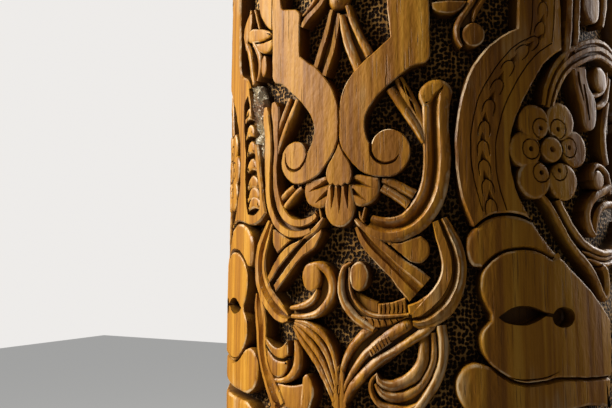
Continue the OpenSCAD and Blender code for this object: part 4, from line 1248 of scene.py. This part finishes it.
strap(stems, [(103.6, 33.4, 2.4), (109.6, 27, 3), (115, 18.6, 3.4), (121.4, 10.4, 3.4),
              (130, 2.4, 4), (137, -3.6, 4), (142.4, -10, 4), (146.4, -16, 4), (149, -18.6, 4),
              (151.6, -16, 4), (152.4, -10, 4), (151, -4.4, 4), (147, -1.6, 3)], RIDGE, 8.4)
strap(stems, [(114.4, 31, 3.4), (118, 24.6, 4.2), (123.4, 17.4, 4), (130, 11, 4), (137, 7.4, 4),
              (144.6, 5.4, 3.6), (152, 4.6, 3.4), (162, 6, 3.4), (174, 11, 3.4), (184, 18, 3)],
      RIDGE, 8.4)
strap(stems, [(130, 5.6, 1), (137, 3.8, 2.4), (146, 2, 2.4), (155, 2, 2.4), (166, 4.6, 2.4),
              (178, 10, 2)], RIDGE, 7.8)
strap(stems, [(133, 1.6, 1), (140, 0.6, 2.2), (148, -1, 2.6), (156, -1, 3), (168, 2, 3),
              (182, 9, 3)], RIDGE, 7.8)
strap(stems, [(160, 39.4, 5), (151, 36.6, 5), (143.4, 33.4, 5), (137.8, 28.4, 5.2),
              (136.2, 22.4, 5.2), (138, 16.6, 5), (141.4, 13.6, 3)], RIDGE, 8.4)
strap(stems, [(141, 13.6, 2), (142.8, 19, 4), (145.2, 24.4, 4), (150, 28.2, 4), (158, 30.6, 4),
              (168, 31, 4)], RIDGE, 8.2)
slab(stems, disc(146.4, 42.4, 5.2), top=8.6, edge=1.2, round_over=True)
strap(stems, [(140.8, 42, 2), (142, 47.6, 3), (147, 50.4, 3), (153, 49.8, 3), (158.6, 46.6, 3.4),
              (161, 41, 4), (160, 36, 4)], RIDGE, 8.2)
wrap("right_stems_carved", "right_stems", relief_wood,
     (FRONT_RIGHT, [stems, hanging]), (BACK_RIGHT, [stems, hanging]))
wrap("left_stems_carved", "left_stems", relief_wood,
     (FRONT_LEFT, [stems, hanging]), (BACK_LEFT, [stems, hanging]))


# Palmettes and bosses stand one over another on the middle line of each side panel, where the
# two halves of its carving meet.
SIDE_U = PATTERN_R * math.pi / 2
crests = []


def crest(cuts, *curves, top=8.4, both=True):
    """One motif of the middle line from its right-hand curves, with its cuts."""
    motif = bmesh.new()
    halves = list(curves)
    if both:
        halves += [[(-u, v) for u, v in reversed(curve)] for curve in reversed(curves)]
    slab(motif, *[[(SIDE_U + u, v) for u, v in curve] for curve in halves],
         top=top, edge=1.2, round_over=True)
    crests.append(gouged(motif, *[[(SIDE_U + u, *rest) for u, *rest in cut] for cut in cuts],
                         top=top))


crest([[(0, 34.6, 3, 3), (0, 50, 2.6, 2.2), (0, 66, 0.4, 0.2)],
       [(6, 35, 2.6, 2.4), (7.4, 46, 2.4, 1.8), (6, 58, 0.4, 0.2)],
       [(-6, 35, 2.6, 2.4), (-7.4, 46, 2.4, 1.8), (-6, 58, 0.4, 0.2)]],
      [(0, 33.6), (4, 34.6), (9, 33)],
      [(9, 33), (12.6, 38), (13.6, 46), (10.6, 60), (4, 69), (0, 75)])
crest([[(0, 19, 3, 3), (0, 8, 2.6, 2), (0, -4, 0.4, 0.2)],
       [(5.6, 20, 2.6, 2.4), (7.2, 12, 2.2, 1.8), (6, 2, 0.4, 0.2)],
       [(-5.6, 20, 2.6, 2.4), (-7.2, 12, 2.2, 1.8), (-6, 2, 0.4, 0.2)]],
      [(0, -11), (5.4, -6), (11, 1), (12.8, 11), (11.6, 18), (8, 23)],
      [(8, 23), (4, 20.4), (0, 21)])
crest([[(0, 154, 0.4, 0.2), (0, 144, 2.2, 2), (0, 132, 2.6, 2.4), (0, 126, 0.6, 0.4)]],
      [(0, 121), (5.6, 124.6), (9, 132), (8, 145), (4, 153), (0, 159)])
crest([[(0, -64, 0.4, 0.2), (0, -54, 2.6, 2.4), (0, -42, 2.2, 2), (0, -31, 0.4, 0.2)]],
      [(0, -69), (7, -64), (11.4, -55), (9, -39), (4, -31), (0, -25)])
crest([[(u, v, 1.6, 1.8) for u, v in disc(0, 97, 6.4, turns=12)],
       [(-0.4, 97, 2.6, 2.6), (0.4, 97, 2.6, 2.6)]],
      disc(0, 97, 11.6), both=False)
wrap("right_crests_carved", "right_crests", relief_wood, (FRONT_RIGHT, crests))
wrap("left_crests_carved", "left_crests", relief_wood, (FRONT_LEFT, crests))


# Above the carving the trunk is turned into a thin roll and a thick one, and then flares into
# a bell. Twelve tall leaves stand around the bell, ribbed and veined with a gouge.
neck_low, neck_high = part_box("necking")
bell_low, bell_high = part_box("bell")
LIP = 0.022
BELL_LEAVES = 12
top_r = face_radius(shaft_high.z) - 0.008
roll_z = neck_low.z + 0.4 * (neck_high.z - neck_low.z)
necking = turned([(0, neck_low.z), *roll(top_r, neck_low.z, roll_z - 0.002, 0.005, 12),
                  (top_r - 0.001, roll_z - 0.001), *roll(top_r, roll_z, neck_high.z, 0.014, 20),
                  (0, neck_high.z)])
set_in_place("necking_turned", "necking", necking, upright_wood)

flare = bell_high.x - top_r
flare_h = bell_high.z - LIP - bell_low.z


def bell_r(z):
    """Radius of the bell at a height."""
    rise = min(max((z - bell_low.z) / flare_h, 0), 1)
    return top_r + flare * (1 - (1 - rise * rise) ** 0.5)


bell_line = [(top_r + flare * (1 - math.cos(a)), bell_low.z + flare_h * math.sin(a))
             for a in (math.pi / 2 * n / 22 for n in range(23))]
lip_r = bell_high.x
LIP_ARRIS = 0.002
bell = turned([
    (0, bell_low.z), *bell_line[:-1], (lip_r - LIP_ARRIS, bell_high.z - LIP),
    (lip_r, bell_high.z - LIP + LIP_ARRIS), (lip_r, bell_high.z - 0.013),
    (lip_r - 0.0016, bell_high.z - 0.0115), (lip_r - 0.0016, bell_high.z - 0.0095),
    (lip_r, bell_high.z - 0.008), (lip_r, bell_high.z - LIP_ARRIS),
    (lip_r - LIP_ARRIS, bell_high.z), (0, bell_high.z)])
set_in_place("bell_turned", "bell", bell, upright_wood)

tall_r = top_r + 0.008
tall_w = 1960 * math.pi * tall_r / BELL_LEAVES
tall_h = 1000 * flare_h
TALL_OUT = 7.6
tall_leaf = bmesh.new()
right_edge = [(0.36 * tall_w, 0.03 * tall_h), (0.45 * tall_w, 0.2 * tall_h),
              (0.47 * tall_w, 0.42 * tall_h), (0.42 * tall_w, 0.62 * tall_h),
              (0.24 * tall_w, 0.8 * tall_h), (0, 0.9 * tall_h)]
slab(tall_leaf, right_edge, [(-u, v) for u, v in reversed(right_edge)],
     [(-0.36 * tall_w, 0.03 * tall_h), (0.36 * tall_w, 0.03 * tall_h)],
     top=TALL_OUT, edge=2.2, round_over=True, step=3)
tall_leaf = veined(
    tall_leaf, tall_h, TALL_OUT,
    [(4, 0.05, 3.4, 2.6), (4.6, 0.4, 3.6, 3.2), (3.4, 0.66, 2.6, 2.2), (1.2, 0.82, 0.5, 0.2)],
    [(0.19 * tall_w, 0.1, 1.6, 1.2), (0.25 * tall_w, 0.4, 2.8, 2.2),
     (0.2 * tall_w, 0.62, 2.2, 1.6), (0.09 * tall_w, 0.78, 0.5, 0.2)],
    [(0.32 * tall_w, 0.1, 1.2, 0.8), (0.375 * tall_w, 0.38, 2.2, 1.6),
     (0.33 * tall_w, 0.58, 1.8, 1.2), (0.22 * tall_w, 0.72, 0.5, 0.2)])
set_in_place("bell_leaves_carved", "bell_leaves_ring",
             stand_around(tall_leaf, BELL_LEAVES, tall_r, bell_r, bell_low.z),
             upright_wood)


# A square sawn block lies on the bell, and on it the bolster that spreads the beam's load. The
# bolster's ends are sawn to a curve and carry a small turned rosette on each side.
SAW_SLICE = 0.0127
SAW_WEAR = 0.0009


def sawn(mesh, sharp, offset):
    """Takes the arrises off a sawn piece and slices it finely enough to show its wear."""
    bmesh.ops.bevel(mesh, geom=[e for e in mesh.edges if e.calc_face_angle() > sharp],
                    offset=offset, segments=3, profile=0.5, affect="EDGES", material=-1)
    slice_across(mesh, 0, SAW_SLICE)
    wear(mesh, SAW_WEAR, 14)


level_wood = plain_wood("level_wood", level=True)
abacus_low, abacus_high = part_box("abacus")
LINE = 0.0022
abacus = bmesh.new()
half = abacus_high.x
steps = [(half - 0.010, 0), (half - 0.001, 0.009), (half - 0.001, 0.011), (half, 0.012),
         (half, 0.030), (half - LINE, 0.032), (half, 0.034), (half, abacus_high.z - abacus_low.z)]
bmesh.ops.create_grid(abacus, x_segments=1, y_segments=1, size=steps[0][0])
bmesh.ops.translate(abacus, verts=abacus.verts, vec=(0, 0, abacus_low.z))
rim = abacus.edges[:]
for side, rise in steps[1:]:
    grown = bmesh.ops.extrude_edge_only(abacus, edges=rim)["geom"]
    corners = [g for g in grown if isinstance(g, bmesh.types.BMVert)]
    rim = [g for g in grown if isinstance(g, bmesh.types.BMEdge) and set(g.verts) <= set(corners)]
    for corner in corners:
        corner.co = (math.copysign(side, corner.co.x), math.copysign(side, corner.co.y),
                     abacus_low.z + rise)
bmesh.ops.contextual_create(abacus, geom=rim)
bmesh.ops.recalc_face_normals(abacus, faces=abacus.faces)
sawn(abacus, 1.2, 0.002)
set_in_place("abacus_sawn", "abacus", abacus, level_wood)

bolster_low, bolster_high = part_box("bolster")
bolster_h = bolster_high.z - bolster_low.z
nose = 0.55 * bolster_h
under_l, nose_l = 1.9 * nose, 0.7 * nose
reach = bolster_high.x
quarter = [(reach - under_l + (under_l - nose_l) * math.sin(a),
            bolster_low.z + nose * (1 - math.cos(a)))
           for a in (math.pi / 2 * n / 16 for n in range(17))]
outline = [*quarter, (reach, bolster_low.z + nose), (reach, bolster_high.z)]
bolster = bmesh.new()
side_face = bolster.faces.new([bolster.verts.new((x, bolster_low.y, z)) for x, z in
                               outline + [(-x, z) for x, z in reversed(outline)]])
far_side = pulled(bolster, [side_face])[0]
bmesh.ops.translate(bolster, verts=far_side, vec=(0, bolster_high.y - bolster_low.y, 0))
bmesh.ops.recalc_face_normals(bolster, faces=bolster.faces)
sawn(bolster, 0.6, 0.0025)
set_in_place("bolster_sawn", "bolster", bolster, level_wood, 40)

rosette_low, rosette_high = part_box("bolster_scrolls")
ROSETTE_R = (rosette_high.z - rosette_low.z) / 2
ROSETTE_OUT = rosette_high.y - bolster_high.y
rosettes = bmesh.new()
for sign_x, sign_y in ((1, 1), (1, -1), (-1, 1), (-1, -1)):
    rosette = turned([
        (0, 0), (ROSETTE_R, 0), (ROSETTE_R, 0.8 * ROSETTE_OUT), (ROSETTE_R - 0.001, ROSETTE_OUT),
        (ROSETTE_R - 0.004, ROSETTE_OUT), (ROSETTE_R - 0.0052, 0.55 * ROSETTE_OUT),
        (ROSETTE_R - 0.007, 0.9 * ROSETTE_OUT), (0.0085, 0.75 * ROSETTE_OUT),
        (0.0068, 0.45 * ROSETTE_OUT), (0.0055, 0.9 * ROSETTE_OUT), (0.0025, ROSETTE_OUT),
        (0, ROSETTE_OUT)], 64)
    for vert in rosette.verts:
        turn = math.atan2(vert.co.y, vert.co.x)
        spread = math.hypot(vert.co.x, vert.co.y)
        if 0.0075 < spread < ROSETTE_R - 0.006:
            vert.co.z *= 0.72 + 0.28 * abs(math.cos(4 * turn))
    bmesh.ops.rotate(rosette, verts=rosette.verts, cent=(0, 0, 0),
                     matrix=Matrix.Rotation(math.pi / 2 * sign_y, 3, "X"))
    bmesh.ops.translate(rosette, verts=rosette.verts, vec=(
        sign_x * (rosette_high.x - ROSETTE_R), -sign_y * bolster_high.y,
        (rosette_low.z + rosette_high.z) / 2))
    sheet = bpy.data.meshes.new("sheet")
    rosette.to_mesh(sheet)
    rosettes.from_mesh(sheet)
set_in_place("rosettes_turned", "bolster_scrolls", rosettes, level_wood)


# The studio: a pale floor that keeps the column's shadow, a soft lamp high on the left, a faint
# one in front, a third behind on the right, and an even pale surround.
FLOOR_HALF = 8
FLOOR_GLOW = 0.42
floor_mesh = bmesh.new()
bmesh.ops.create_grid(floor_mesh, x_segments=1, y_segments=1, size=FLOOR_HALF)
floor_data = bpy.data.meshes.new("floor")
floor_mesh.to_mesh(floor_data)
floor = bpy.data.objects.new("floor", floor_data)
bpy.context.scene.collection.objects.link(floor)
floor_material, floor_shader, floor_place = new_material("pale_floor")
floor_shader.inputs["Base Color"].default_value = (0.32, 0.315, 0.305, 1)
floor_shader.inputs["Roughness"].default_value = 0.9
floor_seen = floor_place.make("ShaderNodeLightPath", {}, output="Is Camera Ray")
floor_glow = floor_seen.mix((0, 0, 0, 1), (0.80, 0.80, 0.79, 1))
floor_place.tree.links.new(floor_glow.socket, floor_shader.inputs["Emission Color"])
floor_shader.inputs["Emission Strength"].default_value = FLOOR_GLOW
floor.data.materials.append(floor_material)


def lamp(name, place, aim, size, power, colour):
    """A square soft lamp that points at aim."""
    data = bpy.data.lights.new(name, "AREA")
    data.size = size
    data.energy = power
    data.color = colour
    light = bpy.data.objects.new(name, data)
    light.location = place
    light.rotation_euler = (Vector(aim) - Vector(place)).to_track_quat("-Z", "Y").to_euler()
    bpy.context.scene.collection.objects.link(light)


CHEST = (0, 0, 1.2)
lamp("key_lamp", (-2.29, -1.40, 2.70), CHEST, 1.2, 165, (1.0, 0.98, 0.90))
lamp("fill_lamp", (1.2, -2.6, 1.6), CHEST, 1.8, 1.2, (1.0, 0.96, 0.90))
lamp("back_lamp", (1.6, 2.5, 2.2), CHEST, 1.6, 70, (1.0, 0.97, 0.93))

SEEN_BY_EYE, SEEN_BY_GLOSS, LIGHT_GIVEN = 0.90, 0.07, 0.05
world = bpy.data.worlds.new("surround")
bpy.context.scene.world = world
world.use_nodes = True
backdrop = world.node_tree.nodes["Background"]
rays = Tone(world.node_tree, world.node_tree.nodes.new("ShaderNodeLightPath").outputs[0])
glossy = Tone(world.node_tree, rays.socket.node.outputs["Is Glossy Ray"])
seen = rays.math("MAXIMUM", rays, glossy * SEEN_BY_GLOSS)
backdrop.inputs["Color"].default_value = (0.90, 0.88, 0.86, 1)
world.node_tree.links.new((seen * SEEN_BY_EYE + LIGHT_GIVEN).socket, backdrop.inputs["Strength"])
